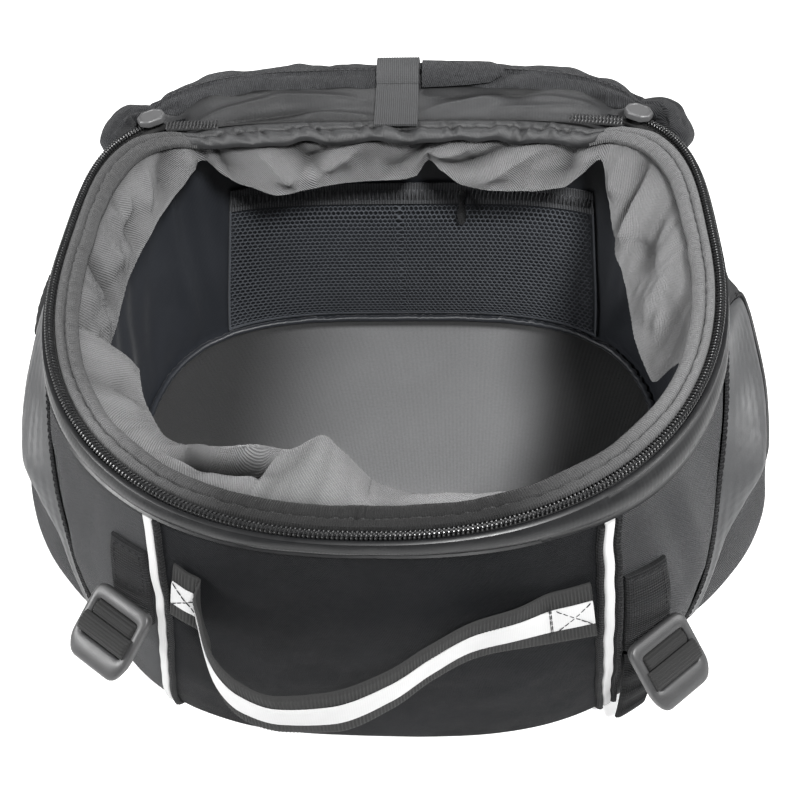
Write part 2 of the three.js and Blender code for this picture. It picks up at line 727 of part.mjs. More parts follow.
// Puffed gusset lobes where the lid leaves the mouth at the back corners, right one.
const LOBE = [
  { x: 149.4, y: 160.5, z: 184.5, r: 4.2 },
  { x: 157.5, y: 160, z: 182.5, r: 7.5 },
  { x: 164.5, y: 153.5, z: 180, r: 9 },
  { x: 168, y: 142.5, z: 177.5, r: 8.6 },
  { x: 170, y: 133, z: 175, r: 5 },
];
const LOBE_SIDES = 10;
function lobeRings(sign) {
  return LOBE.map((row, k) => {
    const before = LOBE[Math.max(k - 1, 0)];
    const after = LOBE[Math.min(k + 1, LOBE.length - 1)];
    const run = new THREE.Vector3(sign * (after.x - before.x), after.y - before.y, after.z - before.z).normalize();
    const side = new THREE.Vector3(0, 0, 1).cross(run).normalize();
    const up = run.clone().cross(side);
    return Array.from({ length: LOBE_SIDES }, (unused, i) => {
      const turn = (2 * Math.PI * i) / LOBE_SIDES;
      const point = new THREE.Vector3(sign * row.x, row.y, row.z);
      return point.addScaledVector(side, row.r * Math.cos(turn)).addScaledVector(up, row.r * Math.sin(turn));
    });
  });
}

// Zip sliders on the ends of the coil and the closed runs of zip beside them.
const sliderShape = new THREE.Shape([
  new THREE.Vector2(-7.5, -3.2),
  new THREE.Vector2(-3.5, -5.4),
  new THREE.Vector2(4, -5.4),
  new THREE.Vector2(7.5, -2.6),
  new THREE.Vector2(7.5, 2.6),
  new THREE.Vector2(4, 5.4),
  new THREE.Vector2(-3.5, 5.4),
  new THREE.Vector2(-7.5, 3.2),
]);
const CHAIN = {
  left: { startX: -134.6, startY: 144.5, endX: -104, endY: 145.5 },
  right: { startX: 134.6, startY: 144.3, endX: 104, endY: 148 },
};
for (const side of ['left', 'right']) {
  const sign = side === 'left' ? -1 : 1;
  add(`lid_corner_${side}`, stack(lobeRings(sign)), 'shell');

  const geometry = new THREE.ExtrudeGeometry(sliderShape, { depth: 4.6, bevelEnabled: false });
  const slider = add(`zip_slider_${side}`, geometry, 'slider');
  const seat = wall(sign * (ZIP_END - 8), 188.4, -2.4);
  const ahead = wall(sign * (ZIP_END - 4), 188.4, -2.4);
  slider.position.copy(seat);
  slider.rotation.z = Math.atan2(ahead.y - seat.y, ahead.x - seat.x);

  const chain = CHAIN[side];
  const start = new THREE.Vector3(chain.startX, chain.startY, 187.6);
  const end = new THREE.Vector3(chain.endX, chain.endY, 187.6);
  const line = steps(0, 1, 0.25).map((t) => start.clone().lerp(end, t));
  const width = new THREE.Vector3(end.y - start.y, start.x - end.x, 0).normalize().multiplyScalar(3.4);
  add(`zip_chain_${side}`, strap(line, line.map(() => width), -2.6), 'coil');
}

// Reflective strips and their bindings over the front seams.
function uprightStrip(side, from, to, top, thick) {
  const rows = [6, ...WALL_ROWS.filter((z) => z > 8 && z < top - 2), top];
  const face = (out) => [from, to].map((shift) => rows.map((z) => wall(seamAt(side, z) + shift, z, out)));
  return sheet(face(0.9 + thick), face(0.9));
}
for (const side of ['left', 'right']) {
  const inward = side === 'left' ? 1 : -1;
  const top = rowAt(FILM_EDGE, 'along', seamAt(side, 170)).low - 0.8;
  const half = STRIP_WIDE / 2;
  add(`reflective_strip_${side}`, uprightStrip(side, -half, half, top, 1), 'reflective');
  const binding = uprightStrip(side, inward * (half + 0.5), inward * (half + 3.5), top, 1.6);
  add(`seam_binding_${side}`, binding, 'webbing');
}

// Carrying strap with its reflective stripe.
function endLines(end, half) {
  return [0, 0.5, 1].map((t) => {
    const along = lerp(end.from, end.to, t);
    const z = lerp(end.fromZ, end.toZ, t);
    return [wall(along, z - half, 1.7), wall(along, z + half, 1.7)];
  });
}
function runLine(row, half) {
  const turn = THREE.MathUtils.degToRad(row.lean);
  const up = new THREE.Vector3(0, -Math.sin(turn), Math.cos(turn)).multiplyScalar(half);
  const middle = new THREE.Vector3(row.x, row.y, row.z);
  return [middle.clone().sub(up), middle.add(up)];
}
function handleGrid(half) {
  return [
    ...endLines(HANDLE_LEFT_END, half),
    ...HANDLE_RUN.map((row) => runLine(row, half)),
    ...endLines(HANDLE_RIGHT_END, half),
  ];
}
const stripeEdge = (0.5 * STRIPE_WIDE) / HANDLE_WIDE;
const webGrid = handleGrid(HANDLE_WIDE / 2).map(([low, high]) =>
  [0, 0.5 - stripeEdge, 0.5 + stripeEdge, 1].map((t) => low.clone().lerp(high, t))
);
const stripeGrid = webGrid.map((line) => line.slice(1, 3));
const stripeLift = HANDLE_THICK + 0.5;
add('carry_strap', sheet(thicken(webGrid, HANDLE_THICK), webGrid), 'webbing');
add('carry_stripe', sheet(thicken(stripeGrid, stripeLift + 0.6), thicken(stripeGrid, stripeLift)), 'reflective');

// Strap tabs, buckles and the webbing wound through them.
function tabGrid(rows, out) {
  return [0, 0.5, 1].map((t) => rows.map((row) => wall(lerp(row.from, row.to, t), row.z, out)));
}
function roundedRect(wide, tall, corner) {
  const shape = new THREE.Shape();
  const w = wide / 2;
  const h = tall / 2;
  shape.moveTo(-w + corner, -h);
  shape.lineTo(w - corner, -h);
  shape.quadraticCurveTo(w, -h, w, -h + corner);
  shape.lineTo(w, h - corner);
  shape.quadraticCurveTo(w, h, w - corner, h);
  shape.lineTo(-w + corner, h);
  shape.quadraticCurveTo(-w, h, -w, h - corner);
  shape.lineTo(-w, -h + corner);
  shape.quadraticCurveTo(-w, -h, -w + corner, -h);
  return shape;
}
function buckleShape() {
  const { wide, tall, corner, slotWide, slotTall, bar, tongue } = BUCKLE;
  const w = wide / 2;
  const shape = new THREE.Shape();
  shape.moveTo(-w + corner, 0);
  shape.lineTo(w - corner, 0);
  shape.quadraticCurveTo(w, 0, w, -corner);
  shape.lineTo(w, -tall);
  shape.lineTo(w - 4, -tall - tongue);
  shape.quadraticCurveTo(0, -tall - tongue - 1.5, -w + 4, -tall - tongue);
  shape.lineTo(-w, -tall);
  shape.lineTo(-w, -corner);
  shape.quadraticCurveTo(-w, 0, -w + corner, 0);
  const slot = roundedRect(slotWide, slotTall, 1.5);
  const points = slot.getPoints(3).map((p) => new THREE.Vector2(p.x, p.y - bar - slotTall / 2));
  shape.holes.push(new THREE.Path(points));
  return shape;
}
for (const side of ['left', 'right']) {
  const rows = TABS[side];
  add(`strap_tab_${side}`, sheet(tabGrid(rows, 0.8 + TAB_THICK), tabGrid(rows, 0.8)), 'webbing');

  const seat = BUCKLES[side];
  const heading = THREE.MathUtils.degToRad(seat.heading);
  const lean = THREE.MathUtils.degToRad(seat.lean);
  const outward = new THREE.Vector3(Math.cos(heading), Math.sin(heading), 0);
  const up = new THREE.Vector3(0, 0, Math.cos(lean)).addScaledVector(outward, -Math.sin(lean));
  const across = up.clone().cross(new THREE.Vector3(0, 0, Math.sin(lean)).addScaledVector(outward, Math.cos(lean)));
  const face = across.clone().cross(up);
  const frame = new THREE.Group();
  frame.name = `buckle_seat_${side}`;
  frame.quaternion.setFromRotationMatrix(new THREE.Matrix4().makeBasis(across, up, face));
  frame.position.copy(wall(seat.along, seat.z, seat.out));
  bag.add(frame);
  const options = { depth: BUCKLE.thick, bevelEnabled: false, curveSegments: 4 };
  add(`buckle_${side}`, new THREE.ExtrudeGeometry(buckleShape(), options), 'plastic', frame);
  const bars = roundedRect(BUCKLE.slotWide - 0.7, BUCKLE.slotTall - 0.7, 1.2);
  const webbing = new THREE.ExtrudeGeometry(bars, { ...options, depth: 3.4 });
  const web = add(`buckle_webbing_${side}`, webbing, 'webbing', frame);
  web.position.set(0, -BUCKLE.bar - BUCKLE.slotTall / 2, 0.4);
}

const TAIL_ROWS = [
  { z: 79, from: 119.5, to: 141, out: 0.4 },
  { z: 55, from: 120, to: 141, out: 4 },
  { z: 34, from: 121, to: 141, out: 7 },
  { z: 14, from: 122, to: 141, out: 9 },
];
const tailGrid = (lift) => [0, 1].map((t) => TAIL_ROWS.map((row) => {
  return wall(lerp(row.from, row.to, t), row.z, row.out + lift);
}));
add('strap_tail_right', sheet(tailGrid(1.8), tailGrid(0)), 'webbing');

// Side pockets with their front tapes.
function pocketGrid(sign, columns) {
  return columns.map((u) =>
    POCKET_ROWS.map((row) => {
      const stops = [
        { u: 0, y: row.front, out: 0 },
        { u: 1, y: row.crease, out: row.creaseOut },
        { u: 2, y: row.belly, out: row.bellyOut },
        { u: 3, y: lerp(row.belly, row.back, 0.7), out: row.bellyOut * 0.72 },
        { u: 4, y: row.back, out: 0 },
      ];
      const here = rowAt(stops, 'u', u);
      const bulge = Math.max(0, dentAt(sign * alongAtY(here.y), row.z));
      const reach = here.out * POCKET_REACH[sign < 0 ? 'left' : 'right'];
      const x = sideX(here.y, row.z) + reach + bulge + POCKET_CLEAR;
      return new THREE.Vector3(sign * x, here.y, row.z);
    })
  );
}
function alongAtY(y) {
  let low = 0;
  let high = HALF_ROUND;
  for (let k = 0; k < 30; k += 1) {
    const mid = (low + high) / 2;
    if (planPoint(angleAt(mid), REFERENCE_Z, 0).y < y) low = mid;
    else high = mid;
  }
  return (low + high) / 2;
}
for (const side of ['left', 'right']) {
  const sign = side === 'left' ? -1 : 1;
  const gusset = pocketGrid(sign, [0, 0.5, 0.985]);
  const face = pocketGrid(sign, [1.015, 1.5, 2, 2.5, 3, 3.5, 4]);
  add(`pocket_gusset_${side}`, sheet(thicken(gusset, -sign * POCKET_THICK), gusset), 'film');
  add(`pocket_face_${side}`, sheet(thicken(face, -sign * POCKET_THICK), face), 'shell');
  const tape = [TAPE_WIDE + 2, 2.6].map((ahead) =>
    POCKET_ROWS.slice(0, -1).map((row) => {
      const y = row.front - ahead;
      const bulge = Math.max(0, dentAt(sign * alongAtY(y), row.z));
      return new THREE.Vector3(sign * (sideX(y, row.z) + bulge + POCKET_CLEAR + 0.3), y, row.z);
    })
  );
  add(`pocket_tape_${side}`, sheet(thicken(tape, -sign * 1.4), tape), 'webbing');
}
const edgeRows = pocketGrid(1, [1.05, 1.13]).map((line) => line.slice(1, 5));
const edgeLow = thicken(edgeRows, -POCKET_THICK - 0.6);
add('pocket_edge_right', sheet(thicken(edgeRows, -POCKET_THICK - 2.4), edgeLow), 'webbing');


// Pull on the zip of the left pocket, hanging from the top of its crease.
const PULL_PATH = [
  { x: -186.6, y: 43, z: 158.5, half: 2.2 },
  { x: -189.8, y: 37, z: 153, half: 2.8 },
  { x: -193, y: 29, z: 146, half: 3.2 },
  { x: -195.2, y: 21, z: 138.5, half: 2.2 },
];
const pullPath = PULL_PATH.map((row) => new THREE.Vector3(row.x, row.y, row.z));
const pullWidths = PULL_PATH.map((row) => new THREE.Vector3(0, row.half * 0.7, row.half * 0.7));
add('pocket_pull_left', strap(pullPath, pullWidths, 2.6), 'webbing');

export default bag;
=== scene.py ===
import math

import bpy
import numpy as np
from bpy.props import FloatProperty, FloatVectorProperty, PointerProperty
from mathutils import Matrix, Vector


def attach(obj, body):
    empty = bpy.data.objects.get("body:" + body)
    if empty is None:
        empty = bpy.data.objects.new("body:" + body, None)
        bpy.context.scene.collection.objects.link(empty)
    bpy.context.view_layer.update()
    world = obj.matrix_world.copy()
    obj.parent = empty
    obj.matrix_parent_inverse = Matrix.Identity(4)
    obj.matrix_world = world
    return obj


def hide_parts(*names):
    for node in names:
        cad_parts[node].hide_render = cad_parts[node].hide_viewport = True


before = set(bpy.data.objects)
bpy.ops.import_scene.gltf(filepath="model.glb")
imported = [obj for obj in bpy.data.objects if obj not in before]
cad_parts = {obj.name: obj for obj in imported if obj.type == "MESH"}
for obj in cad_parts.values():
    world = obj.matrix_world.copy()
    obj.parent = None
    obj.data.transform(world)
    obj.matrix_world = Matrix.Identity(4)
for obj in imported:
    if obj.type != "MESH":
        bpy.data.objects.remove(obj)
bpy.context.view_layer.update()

bl_info = {
    "name": "Motorcycle gear bag",
    "version": (1, 0, 0),
    "blender": (4, 5, 0),
    "location": "View3D > Sidebar > Gear bag",
    "description": "Builds an open cloth gear bag with its liner, zip, pockets, straps and buckles",
    "category": "Object",
}

# All shapes are worked out in millimetres: X to the right, Y to the back, Z up, and scaled once at the end.
MM = 0.001
CLOTH_MAP = "cloth"
# Per-point painted shade that some cloths carry and that their finishes darken by.
PAINTED_SHADE = "painted_shade"
SIDES = {"left": -1, "right": 1}


def table(columns, *rows):
    return {name: np.array([row[k] for row in rows], float) for k, name in enumerate(columns.split())}


# Outer wall from the floor up.
WALL = table(
    "z half front back wide front_power back_power",
    (0, 164, 144, 155, 16, 2.8, 3.4),
    (3, 172, 151.5, 163, 16, 2.8, 3.4),
    (10, 178, 156, 168.5, 17, 2.85, 3.4),
    (60, 181, 158, 170, 22, 2.95, 3.5),
    (110, 180, 154.5, 170, 29, 2.9, 3.7),
    (140, 178.5, 151.5, 169.5, 34, 2.72, 3.8),
    (165, 176, 149.5, 169, 38, 2.45, 3.9),
    (195, 173, 146, 167.4, 41, 2.2, 4.1),
)
WALL_FOOT = 5.4
WALL_TOP = 182.5
WALL_THICK = 4.0
REFERENCE_Z = 100.0
BACK_SEAM = 446.0
ZIP_END = 441.0
ZIP_TAPE_TOP = 184.2
COIL_OUT = -1.1
LINING_OUT = -5.1
LINING_FACE = LINING_OUT - 1.4
FLOOR_TOP = 7.4

# Front seams: distance from the front's middle, height by height.
SEAM = table(
    "z left right",
    (5, 125, 127), (25, 120, 121), (66, 110.5, 113.2), (98, 106, 110.8), (120, 104.6, 111.5), (145, 108.5, 115.5),
    (165, 114, 121), (185, 118.5, 126),
)

# Broad bulges and hollows of the wall.
DENTS = table(
    "along spread z reach out",
    (150, 70, 95, 75, 7),
    (-20, 60, 60, 50, -2.5),
    (-170, 45, 130, 45, -2),
    (40, 40, 130, 40, 2),
)

# Creases of the outer cloth: a line from one place on the wall to another, its width and depth.
WALL_CREASES = table(
    "along z to_along to_z width depth",
    (-96, 118, -60, 96, 9, -1.6),
    (-92, 108, -70, 70, 8, 1.4),
    (-40, 150, 30, 138, 14, -0.9),
    (84, 120, 50, 140, 9, -1.0),
    (96, 90, 60, 60, 12, 1.0),
    (160, 150, 176, 96, 10, 2.2),
    (150, 156, 158, 100, 7, -1.8),
    (136, 160, 140, 128, 6, 1.2),
    (-150, 156, -160, 110, 9, -1.6),
    (-182, 150, -176, 70, 10, 1.6),
    (-134, 90, -146, 40, 8, -1.2),
    (150, 60, 160, 20, 9, -1.4),
    (520, 130, 560, 60, 18, -1.6),
    (650, 120, 610, 50, 16, 1.4),
)

# Lower edge of the coated band under the zip.
FILM_EDGE = table(
    "along low",
    (-441, 172), (-250, 171), (-120, 173), (0, 174), (90, 171), (150, 166), (230, 168), (441, 172),
)

# Gathered hem: how far in from the wall it starts and ends, the same on both sides.
HEM = table(
    "along outer inner",
    (0, 4.3, 18), (60, 4.3, 17.5), (115, 4.3, 16.5), (150, 4.3, 15.5), (200, 4.3, 15), (330, 4.3, 16.5),
    (410, 6, 18), (432, 12, 22), (452, 21.5, 32), (490, 21.5, 35), (584, 21.5, 37),
)
HEM_FOOT = 184.6
HEM_THICK = 2.2
HEM_DIP = 3.0
HEM_POINTS = 780
HEM_GROOVE = 0.39
HEM_FRONT_REACH = 444

# Hanging liner, fold by fold: distance in from the wall and drop below the hem at its lower edge.
SKIRT = table(
    "along inset drop",
    (0, 45, 12), (17, 42, 13), (45, 38, 16), (80, 33, 20), (117, 26, 28), (150, 19, 28), (196, 17, 24),
    (230, 19, 28), (243, 23, 32), (249, 35, 50), (262, 39, 51), (297, 43, 52), (356, 44, 50), (382, 44, 46),
    (402, 39, 44), (424, 31, 27), (438, 25, 11), (447, 31, 20), (460, 35, 30), (480, 40, 31), (506, 42, 31),
    (535, 38, 30), (552, 35, 22), (563, 28, 19), (571, 32, 28), (583, 33, 30), (615, 35, 30), (646, 40, 30),
    (676, 44, 31), (697, 34, 29), (712, 30, 20), (719, 24, 13), (725, 25, 12), (732, 28, 15), (745, 28, 24),
    (765, 30, 30), (789, 32, 32), (810, 28, 40), (838, 26, 43), (862, 25, 47), (885, 23, 50), (908, 22, 46),
    (926, 19, 38), (937, 21, 33), (942, 42, 29), (948, 45, 29), (983, 45, 30), (1010, 43, 26), (1034, 41, 15),
    (1048, 43, 10), (1077, 54, 9), (1097, 56, 9), (1117, 66, 8), (1141, 57, 9),
)

# Deep hollows between the hem and the liner's edge: place, width, share of the drop, reach and depth.
SKIRT_HOLLOWS = table("along spread share reach depth", (1066, 27, 0.58, 0.3, 32))

# Pleats of the liner: from a place along the rim and a depth below it, in sixtieths of its drop, to another.
SKIRT_PLEATS = table(
    "along share to_along to_share width depth",
    (12, 14, 66, 22, 6, 3.2), (40, 34, 112, 28, 5, -3.4), (84, 12, 150, 24, 5, 3.0), (150, 40, 200, 30, 6, -2.4),
    (256, 0, 262, 54, 9, 3.0), (290, 0, 300, 48, 12, -2.2), (318, 30, 372, 44, 7, 2.8), (352, 0, 345, 54, 14, 2.2),
    (392, 0, 380, 54, 7, -3.6), (404, 0, 398, 60, 6, 3.6), (424, 0, 420, 50, 6, -3.0), (452, 0, 462, 54, 7, 3.2),
    (470, 0, 520, 54, 8, -3.8), (496, 4, 548, 50, 7, 3.8), (520, 0, 562, 40, 7, -3.0), (556, 10, 590, 54, 8, 3.0),
    (598, 0, 640, 48, 9, -3.6), (616, 4, 652, 40, 7, 3.2), (660, 0, 630, 54, 8, 3.2), (690, 0, 664, 50, 7, -4.0),
    (712, 0, 704, 54, 6, 3.4), (742, 0, 760, 54, 7, 3.6), (764, 0, 778, 40, 6, -3.2), (790, 0, 806, 30, 6, -3.4),
    (826, 0, 808, 32, 6, -3.4), (808, 0, 807, 56, 8, 2.6), (850, 0, 838, 40, 7, -3.2), (872, 3, 856, 54, 7, 3.2),
    (905, 0, 884, 54, 8, -3.4), (930, 6, 914, 50, 8, 3.0), (980, 0, 968, 54, 9, 2.6), (1020, 0, 1012, 54, 8, -2.2),
    (1050, 10, 1100, 30, 6, 2.6), (1100, 0, 1110, 54, 7, 2.0),
)

# Padded fold along the back: its middle line and radius.
FOLD = table(
    "x y z r",
    (-147, 160.5, 185, 5.5), (-130, 171, 185.5, 8.5), (-105, 180, 186, 11), (-60, 185.5, 186, 12),
    (0, 186.5, 186, 12), (60, 185.5, 186, 12), (105, 180, 186, 11), (130, 171, 185.5, 8.5), (147, 160.5, 185, 5.5),
)
FOLD_HALF = 146.0
HINGE_INSET = 20.4

# Lid from its fold down behind the bag and out on the floor, by distance along it.
LID_PATH = table(
    "s y z",
    (0, 203, 183), (40, 203, 144), (80, 205, 104), (110, 208, 74.5), (135, 213.5, 50), (158, 223.5, 29.5),
    (178, 237.5, 15.5), (196, 254, 8.5), (216, 273.5, 5), (250, 307.4, 3.4), (304, 361.4, 3),
)
LID_LENGTH = 288.0
LID_MIDDLE_S = 165.0
LID_THICK = 5.0
BOXING_TALL = 22.0

# Side pockets, height by height: edges, crease and belly from front to back, and how far they stand out.
POCKET = table(
    "z front crease crease_out belly belly_out back",
    (15, -84, -79, 1.2, -28, 1.6, 85), (24, -92, -87, 2.4, -38, 11, 92), (40, -96, -91, 4, -42, 23, 99),
    (60, -92, -86, 4.5, -36, 29, 103), (80, -82, -74, 7, -15, 28, 105), (95, -72, -60, 15, 10, 26, 105),
    (110, -62, -43, 22, 30, 22, 103), (125, -48, -18, 21, 42, 17, 99), (140, -29, 10, 17, 45, 11.5, 92),
    (155, -14, 28, 11, 46, 6, 82), (163, -8, 12, 1.2, 38, 1.4, 68),
)
POCKET_REACH = {"left": 0.84, "right": 1.0}
POCKET_FOOT, POCKET_TOP = 15.0, 163.0
POCKET_TAPE_NEAR, POCKET_TAPE_FAR = 2.6, 11.0

# Carrying webbing: its free run with its lean in degrees, and its sewn ends on the wall.
HANDLE_RUN = table(
    "x y z lean",
    (-79, -152, 126, 0), (-76.5, -160, 123, -1), (-74, -168, 119.5, -3), (-69, -177, 115, -3),
    (-58.5, -185.5, 110.5, -2), (-41, -190.5, 108.5, 1), (-18, -188.5, 106.5, -2), (8, -179, 110, 0),
    (27, -168, 116, 3), (46, -159.5, 121.5, 3), (65.5, -154.6, 123.5, 0),
)
HANDLE_ENDS = (((-98, 135), (-84, 128.5)), ((85, 121.5), (104.4, 121.5)))
HANDLE_WIDE = 36.0
HANDLE_THICK = 1.8
HANDLE_COLUMNS = 24
STRIPE_WIDE = 15.2
STRIP_WIDE = 5.0
STRIP_FOOT = 6.0

# Strap tabs: both edges round the wall, height by height.
TABS = {
    "left": table("z start end", (101, -132.5, -109.6), (115, -132, -108.7), (130, -132.5, -109), (151, -133, -113.6)),
    "right": table("z start end", (84, 118.6, 142.5), (100, 118, 142), (118, 118.6, 142), (135, 120.6, 142)),
}

# Buckles: their place on the wall, the way they face in degrees, and their frame and slot.
BUCKLE_SEAT = {
    "left": {"at": (-119, 118, 3.9), "heading": 235, "lean": 56},
    "right": {"at": (128, 100, 4.6), "heading": 310, "lean": 48},
}
BUCKLE_WIDE, BUCKLE_TALL, BUCKLE_TONGUE = 36.0, 30.0, 7.5
SLOT_WIDE, SLOT_TALL, SLOT_TOP = 27.0, 19.0, 7.0

# Free end of the right strap: both edges round the wall and how far it hangs off.
TAIL = table("z start end out", (14, 122, 141, 9), (34, 121, 141, 7), (55, 120, 141, 4), (79, 119.5, 141, 0.4))

# Puffed corner of the lid on the right, mirrored on the left, and its creases round it.
LOBE = table(
    "x y z r",
    (144, 161.5, 184.8, 4), (149.4, 160.5, 184.5, 5), (157.5, 160, 182.5, 7.5), (164.5, 153.5, 180, 9),
    (168, 142.5, 177.5, 8.6), (170, 133, 175, 5),
)
LOBE_CREASES = ((1.1, -2.6), (2.3, -2.0), (5.4, -2.2))

# Closed runs of zip at the back corners, and the sliders' seat.
CHAINS = {
    "left": ((-134.6, 144.5), (-104, 145.5)),
    "right": ((134.6, 144.3), (104, 148)),
}
CHAIN_Z = 186.4
SLIDER_Z, SLIDER_OUT = 188.4, -2.4

# Pull of the left pocket: middle line and half width.
PULL = table(
    "x y z half", (-186.6, 43, 158.5, 2.2), (-189.8, 37, 153, 2.8), (-193, 29, 146, 3.2), (-195.2, 21, 138.5, 2.2)
)


# Curves and the wall's own coordinates.
def curve_at(keys, values, at):
    """Smooth rise through the rows of a table, with no overshoot between them."""
    at = np.clip(np.asarray(at, float), keys[0], keys[-1])
    step = np.diff(keys)
    rise = np.diff(values) / step
    slope = np.zeros(len(values))
    slope[0], slope[-1] = rise[0], rise[-1]
    for k in range(1, len(values) - 1):
        before, after = rise[k - 1], rise[k]
        if before * after > 0:
            low, high = 2 * step[k] + step[k - 1], step[k] + 2 * step[k - 1]
            slope[k] = (low + high) / (low / before + high / after)
    k = np.clip(np.searchsorted(keys, at, side="right") - 1, 0, len(step) - 1)
    t = (at - keys[k]) / step[k]
    h = step[k]
    return (
        values[k] * (1 + 2 * t) * (1 - t) ** 2
        + slope[k] * h * t * (1 - t) ** 2
        + values[k + 1] * t * t * (3 - 2 * t)
        + slope[k + 1] * h * t * t * (t - 1)
    )


def row_at(rows, key, at):
    return {name: curve_at(rows[key], rows[name], at) for name in rows if name != key}


def looped_row_at(rows, at):
    """Row of a table that runs right round the rim."""
    keys = np.concatenate([rows["along"][-3:] - ROUND, rows["along"], rows["along"][:3] + ROUND])
    at = np.mod(np.asarray(at, float), ROUND)
    found = {}
    for name in rows:
        if name != "along":
            found[name] = curve_at(keys, np.concatenate([rows[name][-3:], rows[name], rows[name][:3]]), at)
    return found


def plan(angle, z, out):
    row = row_at(WALL, "z", z)
    c, s = np.cos(angle), np.sin(angle)
    front = s < 0
    power = np.where(front, row["front_power"], row["back_power"])
    deep = np.where(front, row["wide"] + row["front"], row["back"] - row["wide"]) + out
    x = (row["half"] + out) * np.sign(c) * np.abs(c) ** (2 / power)
    y = row["wide"] + deep * np.sign(s) * np.abs(s) ** (2 / power)
    return np.stack([x, y, z], -1)


def distance_along(line):
    """Distance from the start of a line to each of its points."""
    return np.concatenate([[0], np.cumsum(np.linalg.norm(np.diff(line, axis=0), axis=1))])


TURNS = np.radians(np.linspace(-90, 90, 1801))
RING = plan(TURNS, np.full_like(TURNS, REFERENCE_Z), np.zeros_like(TURNS))
REACHED = distance_along(RING)
HALF_ROUND = REACHED[-1]
ROUND = 2 * HALF_ROUND


def wrap(along):
    return along - ROUND * np.round(np.asarray(along, float) / ROUND)


def angle_at(along):
    along = wrap(along)
    angle = np.interp(np.abs(along), REACHED, TURNS)
    return np.where(along < 0, -np.pi - angle, angle)


def dent_at(along, z):
    out = np.zeros(np.broadcast(along, z).shape)
    for k in range(len(DENTS["along"])):
        u = wrap(along - DENTS["along"][k]) / DENTS["spread"][k]
        v = (z - DENTS["z"][k]) / DENTS["reach"][k]
        out += DENTS["out"][k] * np.clip(1 - u * u - v * v, 0, 1) ** 2
    return out


def wall(along, z, out=0.0):
    """Points at these distances round the wall (zero at the front's middle), heights and offsets outward."""
    along, z, out = np.broadcast_arrays(np.asarray(along, float), np.asarray(z, float), np.asarray(out, float))
    return plan(angle_at(along), z, out + dent_at(along, z))


def seam_at(side, z):
    """Distance round the wall of a front seam at these heights."""
    return SIDES[side] * curve_at(SEAM["z"], SEAM[side], z)


def side_x(y, z):
    row = row_at(WALL, "z", z)
    front = y < row["wide"]
    deep = np.where(front, row["wide"] + row["front"], row["back"] - row["wide"])
    power = np.where(front, row["front_power"], row["back_power"])
    return row["half"] * np.clip(1 - np.abs((y - row["wide"]) / deep) ** power, 0, 1) ** (1 / power)


def along_at_y(y):
    order = np.argsort(RING[:, 1])
    return np.interp(y, RING[order, 1], REACHED[order])


def back_wall_y(x, z=182.0):
    along = np.linspace(HALF_ROUND - 160, HALF_ROUND, 200)
    points = wall(along, z)
    return np.interp(np.abs(x), points[::-1, 0], points[::-1, 1])


def grid(first, second):
    return np.meshgrid(np.asarray(first, float), np.asarray(second, float), indexing="ij")


def spread(start, stop, size):
    return np.linspace(start, stop, max(2, int(round(abs(stop - start) / size)) + 1))


def around(count):
    """Places right round the wall."""
    return np.linspace(0, ROUND, count + 1)[:-1]


def full_turn(count):
    return math.tau * np.arange(count) / count


def index_pairs(rows, columns):
    """Every row number with every column number."""
    return (each.ravel() for each in np.meshgrid(np.arange(rows), np.arange(columns), indexing="ij"))


def bell(at, middle, width):
    """One at the middle, falling smoothly to nothing on both sides."""
    return np.exp(-(((at - middle) / width) ** 2))


def ripple(u, v, seed, lengths, height):
    """Low uneven waves of cloth, the same on every run."""
    draw = np.random.default_rng(seed)
    total = np.zeros(np.broadcast(u, v).shape)
    for length in lengths:
        for turn in draw.uniform(0, math.tau, 4):
            total += np.sin(math.tau * (u * math.cos(turn) + v * math.sin(turn)) / length + draw.uniform(0, math.tau))
    return height * total / (2 * len(lengths))


def creases(u, v, rows, names):
    """Ridges and valleys along straight lines on a cloth, fading at both ends."""
    total = np.zeros(np.broadcast(u, v).shape)
    first, second, to_first, to_second = (rows[name] for name in names)
    for k in range(len(first)):
        run = np.array([to_first[k] - first[k], to_second[k] - second[k]])
        size = np.hypot(*run)
        t = ((u - first[k]) * run[0] + (v - second[k]) * run[1]) / size**2
        off = ((u - first[k]) * run[1] - (v - second[k]) * run[0]) / size
        fade = np.clip(np.minimum(t + 0.25, 1.25 - t) / 0.5, 0, 1)
        total += rows["depth"][k] * np.exp(-(np.abs(off / rows["width"][k]) ** 1.5)) * fade * fade * (3 - 2 * fade)
    return total


def normals(points, looped=False):
    along = np.gradient(points, axis=0)
    if looped:
        along = np.roll(points, -1, 0) - np.roll(points, 1, 0)
    across = np.gradient(points, axis=1)
    out = np.cross(along, across)
    return out / np.maximum(np.linalg.norm(out, axis=-1, keepdims=True), 1e-9)


def unit(vectors):
    return vectors / np.maximum(np.linalg.norm(vectors, axis=-1, keepdims=True), 1e-9)


# Forms: points, four-cornered faces and cloth coordinates, joined before they become one mesh.
class Form:
    def __init__(self, points, faces, uv=None):
        self.points = np.asarray(points, float).reshape(-1, 3)
        self.faces = np.asarray(faces, int).reshape(-1, 4)
        self.uv = np.zeros((len(self.faces), 4, 2)) if uv is None else uv

    def turned_out(self):
        a, b, c, d = (self.points[self.faces[:, k]] for k in range(4))
        volume = np.einsum("ij,ij->i", a, np.cross(b, c)).sum() + np.einsum("ij,ij->i", a, np.cross(c, d)).sum()
        if volume < 0:
            self.faces = self.faces[:, ::-1]
            self.uv = self.uv[:, ::-1]
        return self


def joined(forms):
    points, faces, uv, count = [], [], [], 0
    for form in forms:
        points.append(form.points)
        faces.append(form.faces + count)
        uv.append(form.uv)
        count += len(form.points)
    return Form(np.concatenate(points), np.concatenate(faces), np.concatenate(uv))


